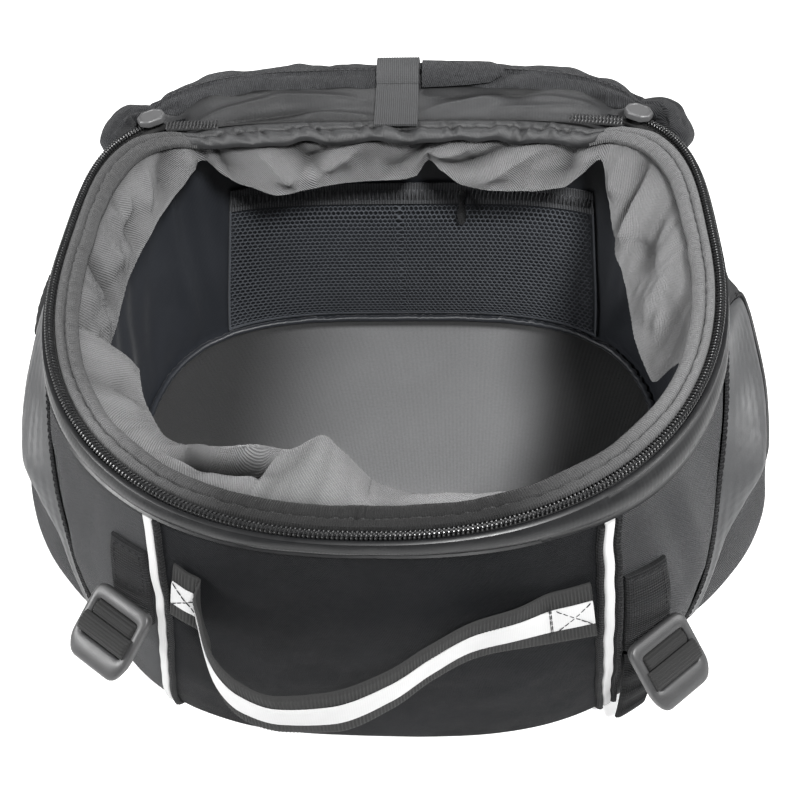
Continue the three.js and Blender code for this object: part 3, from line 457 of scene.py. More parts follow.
def shell(front, back, looped=False):
    """Closed wall between two point grids."""
    n, m = front.shape[:2]
    size = n * m
    ring = np.concatenate([front, front[:1]]) if looped else front
    u = np.concatenate([[0], np.cumsum(np.linalg.norm(np.diff(ring, axis=0), axis=2).mean(1))])
    rise = np.linalg.norm(np.diff(ring, axis=1), axis=2)
    v = np.concatenate([np.zeros((len(ring), 1)), np.cumsum(rise, axis=1)], 1)
    faces, uv = [], []

    def quads(*corners):
        faces.append(np.stack([side * size + (a % n) * m + b for side, a, b in corners], 1))
        uv.append(np.stack([np.stack([u[a], v[a, b]], -1) for side, a, b in corners], 1) * MM)

    spans = n if looped else n - 1
    i, j = index_pairs(spans, m - 1)
    quads((0, i, j), (0, i + 1, j), (0, i + 1, j + 1), (0, i, j + 1))
    quads((1, i, j), (1, i, j + 1), (1, i + 1, j + 1), (1, i + 1, j))
    k = np.arange(spans)
    low, high = np.zeros(spans, int), np.full(spans, m - 1)
    quads((0, k, low), (1, k, low), (1, k + 1, low), (0, k + 1, low))
    quads((0, k, high), (0, k + 1, high), (1, k + 1, high), (1, k, high))
    if not looped:
        q = np.arange(m - 1)
        first, last = np.zeros(m - 1, int), np.full(m - 1, n - 1)
        quads((0, first, q), (0, first, q + 1), (1, first, q + 1), (1, first, q))
        quads((0, last, q), (1, last, q), (1, last, q + 1), (0, last, q + 1))
    points = np.concatenate([front.reshape(-1, 3), back.reshape(-1, 3)])
    return Form(points, np.concatenate(faces), np.concatenate(uv)).turned_out()


def stack(rings):
    """Closed form through a row of closed rings with an even number of points."""
    rings = np.asarray(rings, float)
    count, n = rings.shape[:2]
    k, i = index_pairs(count - 1, n)
    after = (i + 1) % n
    faces = [np.stack([k * n + i, k * n + after, (k + 1) * n + after, (k + 1) * n + i], 1)]
    q = np.arange(n // 2 - 1)
    cap = np.stack([q, n - 1 - q, n - 2 - q, q + 1], 1)
    faces += [cap, cap[:, ::-1] + (count - 1) * n]
    points = rings.reshape(-1, 3)
    faces = np.concatenate(faces)
    return Form(points, faces, points[faces][:, :, :2] * MM).turned_out()


def tube(line, normal, radius, sides=6):
    """Round bar along a line; normal is any direction across it, point by point."""
    tangent = unit(np.gradient(line, axis=0))
    side = unit(np.cross(tangent, normal))
    up = np.cross(side, tangent)
    turn = full_turn(sides)
    radius = np.broadcast_to(radius, len(line))[:, None, None]
    rings = line[:, None] + radius * (
        np.cos(turn)[None, :, None] * side[:, None] + np.sin(turn)[None, :, None] * up[:, None]
    )
    return stack(rings)


def resampled(line, at, *others):
    """Points of a line, and of what goes along it, at these distances from its start."""
    reached = distance_along(line)
    return [np.stack([np.interp(at, reached, each[:, k]) for k in range(3)], -1) for each in (line,) + others]


def length_of(line):
    return np.linalg.norm(np.diff(line, axis=0), axis=1).sum()


def coil(line, up, half_wide, half_tall, wire, pitch, points=10):
    """Zip coil wound along a line."""
    total = length_of(line)
    at = np.linspace(0, total, int(total / pitch) * points + 1)
    centre, rise = resampled(line, at, up)
    across = unit(np.cross(np.gradient(centre, axis=0), rise))
    turn = (math.tau * at / pitch)[:, None]
    radial = across * half_wide * np.cos(turn) + rise * half_tall * np.sin(turn)
    return tube(centre + radial, unit(radial), wire, 6)


def stitches(line, up, length, gap, radius):
    """Row of sewn stitches along a line on a cloth."""
    total = length_of(line)
    count = max(1, int((total + gap) / (length + gap)))
    pace = (total + gap) / count
    starts = pace * np.arange(count)
    share = np.array([0.0, 0.22, 0.78, 1.0])
    swell = np.array([0.45, 1.0, 1.0, 0.45])
    lift = np.array([-0.5, 0.6, 0.6, -0.5]) * radius
    at = (starts[:, None] + share[None] * (pace - gap)).ravel()
    centre, rise = resampled(line, at, up)
    centre, rise = centre.reshape(count, 4, 3), unit(rise.reshape(count, 4, 3))
    tangent = unit(centre[:, 3:] - centre[:, :1])
    side = unit(np.cross(tangent, rise))
    turn = math.tau * (np.arange(4) + 0.5) / 4
    ring = side[:, :, None] * np.cos(turn)[:, None] + rise[:, :, None] * np.sin(turn)[:, None]
    points = (centre + rise * lift[None, :, None])[:, :, None] + ring * (radius * swell)[None, :, None, None]
    faces = []
    for k in range(3):
        for i in range(4):
            after = (i + 1) % 4
            faces.append([k * 4 + i, k * 4 + after, k * 4 + 4 + after, k * 4 + 4 + i])
    faces += [[3, 2, 1, 0], [12, 13, 14, 15]]
    faces = (np.array(faces)[None] + 16 * np.arange(count)[:, None, None]).reshape(-1, 4)
    return Form(points.reshape(-1, 3), faces).turned_out()


def sewn(points, up, scale=1.0):
    """Stitches with the sizes that the panel holds."""
    sizes = bpy.context.scene.gear_bag_sizes
    return stitches(points, up, sizes.stitch_length / MM, sizes.stitch_gap / MM, scale * sizes.stitch_radius / MM)


def simulated(points, faces, held, cap, frames=20, growth=0.0, pressure=0.0, gravity=0.0):
    """Points of a cloth after Blender's cloth simulation, none moved further than the cap."""
    scene = bpy.context.scene
    mesh = bpy.data.meshes.new("cloth at work")
    mesh.from_pydata((points * MM).tolist(), [], np.asarray(faces).tolist())
    cloth = bpy.data.objects.new("cloth at work", mesh)
    scene.collection.objects.link(cloth)
    group = cloth.vertex_groups.new(name="held")
    for weight in np.unique(held):
        group.add(np.flatnonzero(held == weight).tolist(), float(weight), "REPLACE")
    modifier = cloth.modifiers.new("cloth", "CLOTH")
    settings = modifier.settings
    settings.quality = 6
    settings.mass = 0.15
    settings.tension_stiffness = settings.compression_stiffness = 15
    settings.shear_stiffness = 5
    settings.bending_stiffness = 2.0
    settings.vertex_group_mass = "held"
    settings.pin_stiffness = 1
    settings.shrink_min = -growth
    settings.use_pressure = pressure > 0
    settings.uniform_pressure_force = pressure
    settings.effector_weights.gravity = gravity
    modifier.collision_settings.use_collision = False
    modifier.point_cache.frame_start = 1
    modifier.point_cache.frame_end = frames
    for step in range(1, frames + 1):
        scene.frame_set(step)
    evaluated = cloth.evaluated_get(bpy.context.evaluated_depsgraph_get())
    moved = np.zeros(points.size, np.float32)
    evaluated.data.vertices.foreach_get("co", moved)
    scene.frame_set(1)
    bpy.data.objects.remove(cloth)
    bpy.data.meshes.remove(mesh)
    step = moved.reshape(-1, 3).astype(float) / MM - points
    size = np.linalg.norm(step, axis=1, keepdims=True)
    return points + step * (cap * np.tanh(size / cap) / np.maximum(size, 1e-9))


def puffed(form, cap, pressure=3.0):
    """A stuffed form swollen by the simulation, with its middle left where it was."""
    moved = simulated(form.points, form.faces, np.zeros(len(form.points)), cap, pressure=pressure)
    form.points = moved - (moved - form.points).mean(0)
    return form


def piece(name, form, finish, nodes=(), flat_angle=50):
    mesh = bpy.data.meshes.new(name)
    mesh.from_pydata((form.points * MM).tolist(), [], form.faces.tolist())
    layer = mesh.uv_layers.new(name=CLOTH_MAP)
    layer.uv.foreach_set("vector", form.uv.astype(np.float32).ravel())
    mesh.materials.append(bpy.data.materials[finish])
    mesh.polygons.foreach_set("use_smooth", np.ones(len(mesh.polygons), bool))
    mesh.set_sharp_from_angle(angle=math.radians(flat_angle))
    mesh.validate()
    made = bpy.data.objects.new(name, mesh)
    bpy.context.scene.collection.objects.link(made)
    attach(made, "root")
    if nodes:
        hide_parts(*nodes)
    return made


# Shader nodes.
def node(tree, kind, inputs=None, **settings):
    made = tree.nodes.new("ShaderNode" + kind)
    for name, value in settings.items():
        setattr(made, name, value)
    for key, value in (inputs or {}).items():
        if isinstance(value, bpy.types.NodeSocket):
            tree.links.new(value, made.inputs[key])
        else:
            made.inputs[key].default_value = value
    return made


def sum_of(tree, operation, first, second=0.0, third=None):
    inputs = {0: first, 1: second}
    if third is not None:
        inputs[2] = third
    return node(tree, "Math", inputs, operation=operation).outputs[0]


def wave_of(tree, place, turns, pitch):
    return sum_of(tree, "SINE", sum_of(tree, "DIVIDE", sum_of(tree, "MULTIPLY", place, turns), pitch))


def new_group(name, inputs, outputs):
    group = bpy.data.node_groups.new(name, "ShaderNodeTree")
    for label, kind, value in inputs:
        socket = group.interface.new_socket(label, in_out="INPUT", socket_type=kind)
        if value is not None:
            socket.default_value = value
    for label, kind in outputs:
        group.interface.new_socket(label, in_out="OUTPUT", socket_type=kind)
    return group, group.nodes.new("NodeGroupInput").outputs, group.nodes.new("NodeGroupOutput").inputs


FLOAT = "NodeSocketFloat"
COLOUR = "NodeSocketColor"
RELIEF = [("Height", FLOAT), ("Thread", FLOAT)]


def weave_out(group, given, result, woven, fuzz):
    """Roughens a weave with its fuzz and gives out its height and threads."""
    height = sum_of(group, "MULTIPLY_ADD", sum_of(group, "SUBTRACT", fuzz, 0.5), given["Fuzz"], woven)
    group.links.new(height, result["Height"])
    group.links.new(node(group, "Clamp", {0: height}).outputs[0], result["Thread"])


def twill_group():
    """Slanting ribs of a twill, broken up by its threads."""
    group, given, result = new_group(
        "Twill weave",
        [("Pitch", FLOAT, 0.001), ("Slant", FLOAT, 1.0), ("Fuzz", FLOAT, 0.3)],
        RELIEF,
    )
    place = node(group, "UVMap", uv_map=CLOTH_MAP).outputs[0]
    part = node(group, "SeparateXYZ", {0: place}).outputs
    slanted = sum_of(group, "MULTIPLY_ADD", part[1], given["Slant"], part[0])
    rib = wave_of(group, slanted, math.tau, given["Pitch"])
    across = sum_of(group, "MULTIPLY_ADD", part[0], -0.8, part[1])
    thread = wave_of(group, across, 9.1, given["Pitch"])
    scale = sum_of(group, "DIVIDE", 0.55, given["Pitch"])
    fuzz = node(group, "TexNoise", {"Vector": place, "Scale": scale, "Detail": 3.0}).outputs[0]
    woven = sum_of(group, "MULTIPLY_ADD", thread, 0.12, sum_of(group, "MULTIPLY_ADD", rib, 0.32, 0.5))
    weave_out(group, given, result, woven, fuzz)


def rib_group():
    """Straight ribs of woven tape, along or across its length."""
    group, given, result = new_group(
        "Ribbed tape",
        [("Pitch", FLOAT, 0.0016), ("Across", FLOAT, 0.0), ("Fuzz", FLOAT, 0.3)],
        RELIEF,
    )
    place = node(group, "UVMap", uv_map=CLOTH_MAP).outputs[0]
    part = node(group, "SeparateXYZ", {0: place}).outputs
    kept = sum_of(group, "SUBTRACT", 1.0, given["Across"])
    first = sum_of(group, "MULTIPLY", part[0], kept)
    ribbed = sum_of(group, "MULTIPLY_ADD", part[1], given["Across"], first)
    second = sum_of(group, "MULTIPLY", part[1], kept)
    crossed = sum_of(group, "MULTIPLY_ADD", part[0], given["Across"], second)
    rib = wave_of(group, ribbed, math.tau, given["Pitch"])
    weft = wave_of(group, crossed, 8.3, given["Pitch"])
    scale = sum_of(group, "DIVIDE", 0.5, given["Pitch"])
    fuzz = node(group, "TexNoise", {"Vector": place, "Scale": scale, "Detail": 2.0}).outputs[0]
    woven = sum_of(group, "MULTIPLY_ADD", weft, 0.1, sum_of(group, "MULTIPLY_ADD", rib, 0.36, 0.5))
    weave_out(group, given, result, woven, fuzz)


def tone_group():
    """Colour and roughness of a surface, uneven over its area from wear, and darker between its threads as painted
    shade in the low parts of its relief.
    """
    group, given, result = new_group(
        "Worn tone",
        [
            ("Colour", COLOUR, None), ("Deep", COLOUR, None), ("Worn", COLOUR, None), ("Thread", FLOAT, 0.5),
            ("Wear", FLOAT, 0.3), ("Spread", FLOAT, 12.0), ("Roughness", FLOAT, 0.8),
        ],
        [("Colour", COLOUR), ("Roughness", FLOAT)],
    )
    place = node(group, "TexCoord").outputs["Object"]
    broad = node(group, "TexNoise", {"Vector": place, "Scale": given["Spread"], "Detail": 4.0}).outputs[0]
    fine = node(group, "TexNoise", {"Vector": place, "Scale": 160.0, "Detail": 3.0}).outputs[0]
    mask = node(group, "MapRange", {0: broad, 1: 0.42, 2: 0.7}).outputs[0]
    worn = sum_of(group, "MULTIPLY", sum_of(group, "MULTIPLY", mask, fine), given["Wear"])
    # Painted shade: the deep colour fills the low parts of the relief.
    body = node(group, "Mix", {0: given["Thread"], 6: given["Deep"], 7: given["Colour"]}, data_type="RGBA").outputs[2]
    tone = node(group, "Mix", {0: worn, 6: body, 7: given["Worn"]}, data_type="RGBA").outputs[2]
    group.links.new(tone, result["Colour"])
    change = sum_of(group, "MULTIPLY", sum_of(group, "SUBTRACT", fine, 0.5), 0.22)
    rough = sum_of(group, "ADD", given["Roughness"], change)
    group.links.new(node(group, "Clamp", {0: rough}).outputs[0], result["Roughness"])


def grain_group():
    """Fine moulded or coated surface."""
    group, given, result = new_group("Moulded grain", [("Scale", FLOAT, 900.0)], RELIEF)
    place = node(group, "TexCoord").outputs["Object"]
    fine = node(group, "TexNoise", {"Vector": place, "Scale": given["Scale"], "Detail": 3.0}).outputs[0]
    group.links.new(fine, result["Height"])
    group.links.new(node(group, "MapRange", {0: fine, 1: 0.3, 2: 0.7}).outputs[0], result["Thread"])


def finish(name, colour, relief, values, roughness, bump, deep=0.55, worn=1.8, wear=0.35, spread_scale=12.0, dark=0.1,
           uses_painted_shade=False, **shader):
    """Material from one relief group and the shared tone, with its plain numbers on the shader itself, and painted
    shade where asked.
    """
    material = bpy.data.materials.new(name)
    material.use_nodes = True
    tree = material.node_tree
    tree.nodes.clear()
    woven = node(tree, "Group", node_tree=bpy.data.node_groups[relief])
    for label, value in values.items():
        woven.inputs[label].default_value = value
    tone = node(tree, "Group", node_tree=bpy.data.node_groups["Worn tone"])
    colour = np.array(colour[:3])
    for label, factor in (("Colour", 1.0), ("Deep", deep), ("Worn", worn)):
        tone.inputs[label].default_value = (*np.clip(colour * factor, 0, 1), 1)
    tone.inputs["Wear"].default_value = wear
    tone.inputs["Spread"].default_value = spread_scale
    tone.inputs["Roughness"].default_value = roughness
    tree.links.new(woven.outputs["Thread"], tone.inputs["Thread"])
    relief_node = node(tree, "Bump", {"Strength": bump[0], "Distance": bump[1], "Height": woven.outputs["Height"]})
    surface = node(
        tree,
        "BsdfPrincipled",
        {
            "Base Color": tone.outputs["Colour"],
            "Roughness": tone.outputs["Roughness"],
            "Normal": relief_node.outputs[0],
        },
    )
    # Painted shade: the colour darkens towards dark times itself where the cloth's points hold shade.
    if uses_painted_shade:
        shade = node(tree, "Attribute", attribute_name=PAINTED_SHADE).outputs["Fac"]
        painted_shade_colour = (*np.clip(colour * dark, 0, 1), 1)
        mixed = node(tree, "Mix", {0: shade, 6: tone.outputs["Colour"], 7: painted_shade_colour}, data_type="RGBA")
        tree.links.new(mixed.outputs[2], surface.inputs["Base Color"])
    for label, value in shader.items():
        surface.inputs[label.replace("_", " ").title().replace("Ior", "IOR")].default_value = value
    output = node(tree, "OutputMaterial")
    tree.links.new(surface.outputs[0], output.inputs[0])
    return material


def size_property(label, words, value):
    return FloatProperty(name=label, description=words, default=value, unit="LENGTH", precision=5)


class GearBagSizes(bpy.types.PropertyGroup):
    """Sizes of the cloth detail"""

    stitch_length: size_property("Stitch", "Length of one sewn stitch", 0.0026)
    stitch_gap: size_property("Stitch gap", "Gap between two stitches", 0.0011)
    stitch_radius: size_property("Thread", "Radius of the sewing thread", 0.00034)
    coil_pitch: size_property("Zip pitch", "Distance from tooth to tooth of the zip coil", 0.00205)
    coil_wire: size_property("Zip wire", "Radius of the monofilament of the zip coil", 0.00052)
    shell_pitch: size_property("Shell twill", "Rib distance of the outer twill", 0.0012)
    liner_pitch: size_property("Liner twill", "Rib distance of the liner twill", 0.0014)
    hem_pitch: size_property("Hem ribs", "Rib distance of the gathered hem", 0.0012)
    rib_pitch: size_property("Webbing ribs", "Rib distance of the webbing", 0.0017)
    net_cell: size_property("Net cell", "Width of one cell of the net pocket", 0.0034)
    wall_wave: size_property("Wall waves", "Height of the low waves in the outer cloth", 0.0006)
    liner_wave: size_property("Liner waves", "Height of the low waves in the liner", 0.0009)


def colour_property(label, words, value):
    return FloatVectorProperty(name=label, description=words, default=value, subtype="COLOR", min=0, max=1)


class GearBagColours(bpy.types.PropertyGroup):
    """Colours of the cloths and fittings"""

    shell: colour_property("Shell", "Black twill of the front", (0.0075, 0.0082, 0.010))
    side: colour_property("Sides", "Twill of the side panels", (0.043, 0.044, 0.047))
    lining: colour_property("Lining", "Satin of the inner walls", (0.02, 0.0225, 0.028))
    hinge: colour_property("Hinge", "Satin along the back edge", (0.045, 0.0455, 0.047))
    # The floor lining is pale for the painted pool of light in its middle; painted shade darkens its sides and edge.
    floor: colour_property("Floor lining", "Satin of the inner floor", (0.31, 0.312, 0.317))
    net: colour_property("Net", "Knitted net of the inner pocket", (0.088, 0.095, 0.108))
    liner: colour_property("Liner", "Grey twill of the gathered liner", (0.3, 0.3, 0.303))
    webbing: colour_property("Webbing", "Black ribbed webbing", (0.02, 0.0204, 0.0215))
    elastic: colour_property("Elastic", "Grey ribbed elastic", (0.08, 0.081, 0.083))
    film: colour_property("Film", "Coated band under the zip", (0.009, 0.0093, 0.01))
    pocket: colour_property("Pocket film", "Coated cloth of the pocket sides", (0.055, 0.056, 0.058))
    coil: colour_property("Zip coil", "Nylon of the zip coil", (0.02, 0.0203, 0.021))
    fold: colour_property("Lid fold", "Padded knit of the lid", (0.055, 0.056, 0.059))
    plastic: colour_property("Buckles", "Moulded plastic of the buckles", (0.046, 0.046, 0.047))
    slider: colour_property("Zip sliders", "Lacquered metal of the sliders", (0.12, 0.12, 0.122))
    reflective: colour_property("Reflective tape", "White reflective tape", (0.5, 0.5, 0.5))
    thread: colour_property("Thread", "Dark sewing thread", (0.012, 0.012, 0.013))
    grey_thread: colour_property("Grey thread", "Sewing thread of the liner", (0.07, 0.07, 0.072))
    rubber: colour_property("Rubber", "Rubber edges and pulls", (0.012, 0.012, 0.013))


class GEARBAG_OT_finishes(bpy.types.Operator):
    """Builds the shared node groups and every cloth, tape, plastic and metal"""

    bl_idname = "gearbag.finishes"
    bl_label = "Finishes"

    def execute(self, context):
        sizes, colours = context.scene.gear_bag_sizes, context.scene.gear_bag_colours
        twill_group()
        rib_group()
        tone_group()
        grain_group()
        cloth = {"sheen_weight": 0.06, "sheen_roughness": 0.4, "specular_ior_level": 0.2}
        twill, ribs, grain = "Twill weave", "Ribbed tape", "Moulded grain"
        weave = {"Pitch": sizes.shell_pitch, "Slant": 1.0, "Fuzz": 0.5}
        matt = {"sheen_weight": 0.02, "sheen_roughness": 0.4, "specular_ior_level": 0.12}
        finish("shell twill", colours.shell, twill, weave, 0.75, (1.0, 0.0007), deep=0.3, worn=2.6, **matt)
        finish("side twill", colours.side, twill, weave, 0.75, (1.0, 0.0007), deep=0.35, worn=2.2, **cloth)
        liner = {"Pitch": sizes.liner_pitch, "Slant": 0.75, "Fuzz": 0.4}
        finish("liner twill", colours.liner, twill, liner, 0.8, (0.9, 0.0008), deep=0.6, worn=1.2, dark=0.03,
               uses_painted_shade=True, **cloth)
        hem = {"Pitch": sizes.hem_pitch, "Across": 0.0, "Fuzz": 0.9}
        finish("gathered hem", 0.6 * np.array(colours.liner), ribs, hem, 0.85, (0.8, 0.0008), deep=0.5, worn=1.2,
               dark=0.1, uses_painted_shade=True, **cloth)
        satin = {"Pitch": 0.0009, "Slant": 0.0, "Fuzz": 0.8}
        gloss = {"sheen_weight": 0.1, "sheen_roughness": 0.4, "specular_ior_level": 0.6}
        finish("satin lining", colours.lining, twill, satin, 0.42, (0.2, 0.0003), deep=0.8, **gloss)
        finish("crumpled satin", colours.hinge, twill, satin, 0.46, (0.3, 0.0004), deep=0.6, dark=0.15, uses_painted_shade=True,
               specular_ior_level=0.4)
        bright = {"sheen_weight": 0.03, "sheen_roughness": 0.4, "specular_ior_level": 0.75}
        finish("floor satin", colours.floor, twill, satin, 0.42, (0.7, 0.0006), deep=0.6, worn=1.25, dark=0.11,
               uses_painted_shade=True, **bright)
        tape = {"Pitch": sizes.rib_pitch, "Across": 0.0, "Fuzz": 0.35}
        finish("webbing", colours.webbing, ribs, tape, 0.7, (0.9, 0.0008), deep=0.12, **matt)
        finish("crossed webbing", colours.webbing, ribs, {**tape, "Across": 1.0}, 0.7, (0.9, 0.0008), deep=0.12, **matt)
        finish("net zip tape", 6 * np.array(colours.webbing), ribs, tape, 0.7, (0.6, 0.0006), deep=0.3, **cloth)
        elastic = {"Pitch": 0.0013, "Across": 0.0, "Fuzz": 0.3}
        finish("elastic", colours.elastic, ribs, elastic, 0.8, (0.6, 0.0005), deep=0.4, **cloth)
        finish("net cord", colours.net, grain, {"Scale": 1500.0}, 0.6, (0.2, 0.0002), **gloss)
        knit = {"Pitch": 0.0012, "Slant": 0.35, "Fuzz": 1.4}
        finish("padded knit", colours.fold, twill, knit, 0.9, (0.9, 0.001), deep=0.4, **cloth)
        finish("coated film", colours.film, grain, {"Scale": 1400.0}, 0.38, (0.08, 0.0002), deep=0.85, worn=1.3,
               specular_ior_level=0.4)
        finish("pocket film", colours.pocket, grain, {"Scale": 1400.0}, 0.45, (0.12, 0.0002), deep=0.8, worn=1.3,
               specular_ior_level=0.5)
        finish("nylon coil", colours.coil, grain, {"Scale": 1200.0}, 0.26, (0.06, 0.0001), specular_ior_level=0.75)
        finish("moulded plastic", colours.plastic, grain, {"Scale": 1100.0}, 0.42, (0.1, 0.0002), deep=0.85,
               worn=1.35, specular_ior_level=0.5)
        finish("slider metal", colours.slider, grain, {"Scale": 1300.0}, 0.45, (0.06, 0.0001), deep=0.85, worn=1.2,
               metallic=0.3)
        mesh = {"Pitch": 0.0011, "Slant": 0.0, "Fuzz": 0.2}
        finish("reflective tape", colours.reflective, twill, mesh, 0.42, (0.15, 0.0002), deep=0.93, worn=0.86,
               wear=0.5, specular_ior_level=0.5)
        finish("dark thread", colours.thread, grain, {"Scale": 2500.0}, 0.7, (0.2, 0.0001), **cloth)
        finish("grey thread", colours.grey_thread, grain, {"Scale": 2500.0}, 0.75, (0.2, 0.0001), **cloth)
        finish("rubber", colours.rubber, grain, {"Scale": 1000.0}, 0.5, (0.1, 0.0002), specular_ior_level=0.4)
        return {"FINISHED"}


WALL_CREASE_NAMES = ("along", "z", "to_along", "to_z")

# Standing folds of the satin lining, all turned into the bag.
LINING_FOLDS = table(
    "along z to_along to_z width depth",
    (428, 150, 424, 40, 7, -2.4), (446, 165, 450, 50, 6, -3.4), (470, 150, 466, 80, 6, -2.2),
    (702, 140, 704, 90, 6, -2.2), (720, 160, 724, 30, 5, -3.4), (738, 150, 744, 40, 8, -3.0),
    (330, 150, 345, 50, 11, -2.4), (384, 150, 372, 40, 9, -2.6), (290, 140, 300, 60, 10, -2.0),
    (800, 150, 808, 50, 11, -2.4), (856, 140, 846, 50, 10, -2.2), (120, 110, 130, 50, 12, -2.0),
)


class GEARBAG_OT_shell(bpy.types.Operator):
    """Sews the base and the four wall panels"""

    bl_idname = "gearbag.shell"
    bl_label = "Base and wall panels"

    def panel(self, name, start, stop, finish_name, size=2.8):
        wave = bpy.context.scene.gear_bag_sizes.wall_wave / MM
        z = spread(WALL_FOOT, WALL_TOP, 3.0)
        first, last = start(z), stop(z)
        share, zz = grid(np.linspace(0, 1, int((last - first).max() / size)), z)
        along = first + (last - first) * share
        relief = ripple(along, zz, 7, (26, 41, 70), wave) + creases(along, zz, WALL_CREASES, WALL_CREASE_NAMES)
        edge = np.minimum(np.minimum(along - first, last - along), np.minimum(zz - WALL_FOOT, WALL_TOP - zz))
        tuck = 0.9 * bell(edge, 0, 2.6)
        outer = wall(along, zz, relief * np.clip(edge / 12, 0, 1) - tuck)
        inner = wall(along, zz, -WALL_THICK)
        return piece(name.replace("_panel", "_wall"), shell(outer, inner), finish_name, [name])

    def execute(self, context):
        gap = 0.2
        left, right = (lambda z: seam_at("left", z)), (lambda z: seam_at("right", z))
        self.panel("front_panel", lambda z: left(z) + gap, lambda z: right(z) - gap, "shell twill")
        self.panel("side_panel_right", lambda z: right(z) + gap, lambda z: BACK_SEAM - gap + 0 * z, "side twill")
        self.panel("side_panel_left", lambda z: -BACK_SEAM + gap + 0 * z, lambda z: left(z) - gap, "side twill")
        back_end = ROUND - BACK_SEAM - gap
        self.panel("back_panel", lambda z: BACK_SEAM + gap + 0 * z, lambda z: back_end + 0 * z, "shell twill", 3.6)
        along = around(300)
        rings = [wall(along, 0.0) * (share, share, 1) for share in (0.03, 0.25, 0.5, 0.75, 0.93)]
        rings += [wall(along, z) for z in (0.0, 0.8, 1.8, 3.0, 4.2)] + [wall(along, 5.0, -0.3)]
        rings += [wall(along, 5.0, -0.3) * (share, share, 1) for share in (0.9, 0.5, 0.03)]
        piece("base_cloth", stack(rings), "shell twill", ["base_panel"])
        return {"FINISHED"}


class GEARBAG_OT_lining(bpy.types.Operator):
    """Fits the satin lining, the inner floor and the piping along its edge"""

    bl_idname = "gearbag.lining"
    bl_label = "Lining and floor"

    def execute(self, context):
        along, z = grid(around(330), spread(WALL_FOOT, WALL_TOP - 1, 4.6))
        waves = ripple(along, z * 0.4, 21, (19, 33, 60), 1.3) - 1.1
        waves += creases(along, z, LINING_FOLDS, WALL_CREASE_NAMES)
        fade = np.clip(np.minimum(z - WALL_FOOT, WALL_TOP - z) / 20, 0, 1)
        back = np.abs(wrap(along - HALF_ROUND)) < 150
        waves = np.where(back, np.minimum(waves, -0.2) * 0.3, waves)
        front = wall(along, z, LINING_OUT + np.minimum(waves * fade, 0) - 0.7)
        behind = wall(along, z, LINING_OUT)
        piece("satin_walls", shell(front, behind, True), "satin lining", ["wall_lining"])

        ring = around(300)
        out = LINING_FACE
        rings = [wall(ring, WALL_FOOT, out) * (share, share, 1) for share in (0.03, 0.5, 0.95, 1)]
        shares = np.concatenate([[1.0], np.linspace(0.985, 0.03, 46)])
        for share in shares:
            points = wall(ring, FLOOR_TOP, out - 0.6) * (share, share, 1)
            swell = ripple(points[:, 0], points[:, 1], 5, (60, 95, 150), 0.5) * min(1, (1 - share) * 9)
            points[:, 2] += swell - 0.5 * min(1, (1 - share) * 9)
            rings.append(points)
        floor = piece("satin_floor", stack(rings), "floor satin", ["floor_lining"])
        # Painted light and shade on the floor: its pale colour is a painted pool of light in the middle, darker to both
        # sides as painted shadow of the walls, sooner on the right, and darkest along the edge as painted shade by the
        # piping.
        x = np.concatenate(rings)[:, 0]
        side_shade = np.clip(np.maximum((x - 60) / 52, (-12 - x) / 108), 0, 1)
        rim = np.repeat(np.concatenate([np.ones(4), np.clip((shares - 0.94) / 0.02, 0, 1)]), len(ring))
        shaded(floor, np.maximum(side_shade**2 * (3 - 2 * side_shade), 0.95 * rim))

        ring = around(780)
        gather = ripple(ring, 0 * ring, 9, (4.5, 7, 12), 0.9)
        centre = wall(ring, FLOOR_TOP + 2.3, out - 3.2 + gather * 0.8)
        inward = unit(wall(ring, FLOOR_TOP, out - 5) - wall(ring, FLOOR_TOP, out))
        turn = full_turn(8)
        radius = (2.2 + 0.45 * gather)[:, None]
        rings = np.stack(
            [centre + radius * (inward * math.cos(t) + np.array([0, 0, 1.0]) * math.sin(t)) for t in turn], 1
        )
        order = rings[:, [2, 1, 0, 7]], rings[:, [3, 4, 5, 6]]
        piece("floor_seam", shell(*order, True), "satin lining", ["floor_piping"])
        return {"FINISHED"}


# Net pocket: half width of its own cut, then where its sides lie at foot and top.
NET_HALF = 132.0
NET_LEFT, NET_RIGHT = (136.0, 115.0), (148.0, 132.0)
NET_FOOT, NET_TOP, NET_BAND_TOP = 12.0, 111.0, 128.0
NET_SLACK = 5.0
NET_OUT = LINING_FACE
NET_ZIP_Z = 119.5
NET_PULL_X = 41.0


def net_along(across, z):
    rise = (z - NET_FOOT) / (NET_TOP - NET_FOOT)
    left, right = (foot + (top - foot) * rise for foot, top in (NET_LEFT, NET_RIGHT))
    return HALF_ROUND + left - (left + right) * (across / NET_HALF + 1) / 2


def net_point(across, z, extra):
    along = net_along(across, z)
    u = across / NET_HALF
    v = 2 * (z - NET_FOOT) / (NET_TOP - NET_FOOT) - 1
    slack = NET_SLACK * np.clip(1 - u**4, 0, 1) * np.clip(1 - v**4, 0, 1)
    room = 1.2 * np.maximum(0, np.abs(u) - 0.5)
    return wall(along, z, NET_OUT - slack - room - extra)


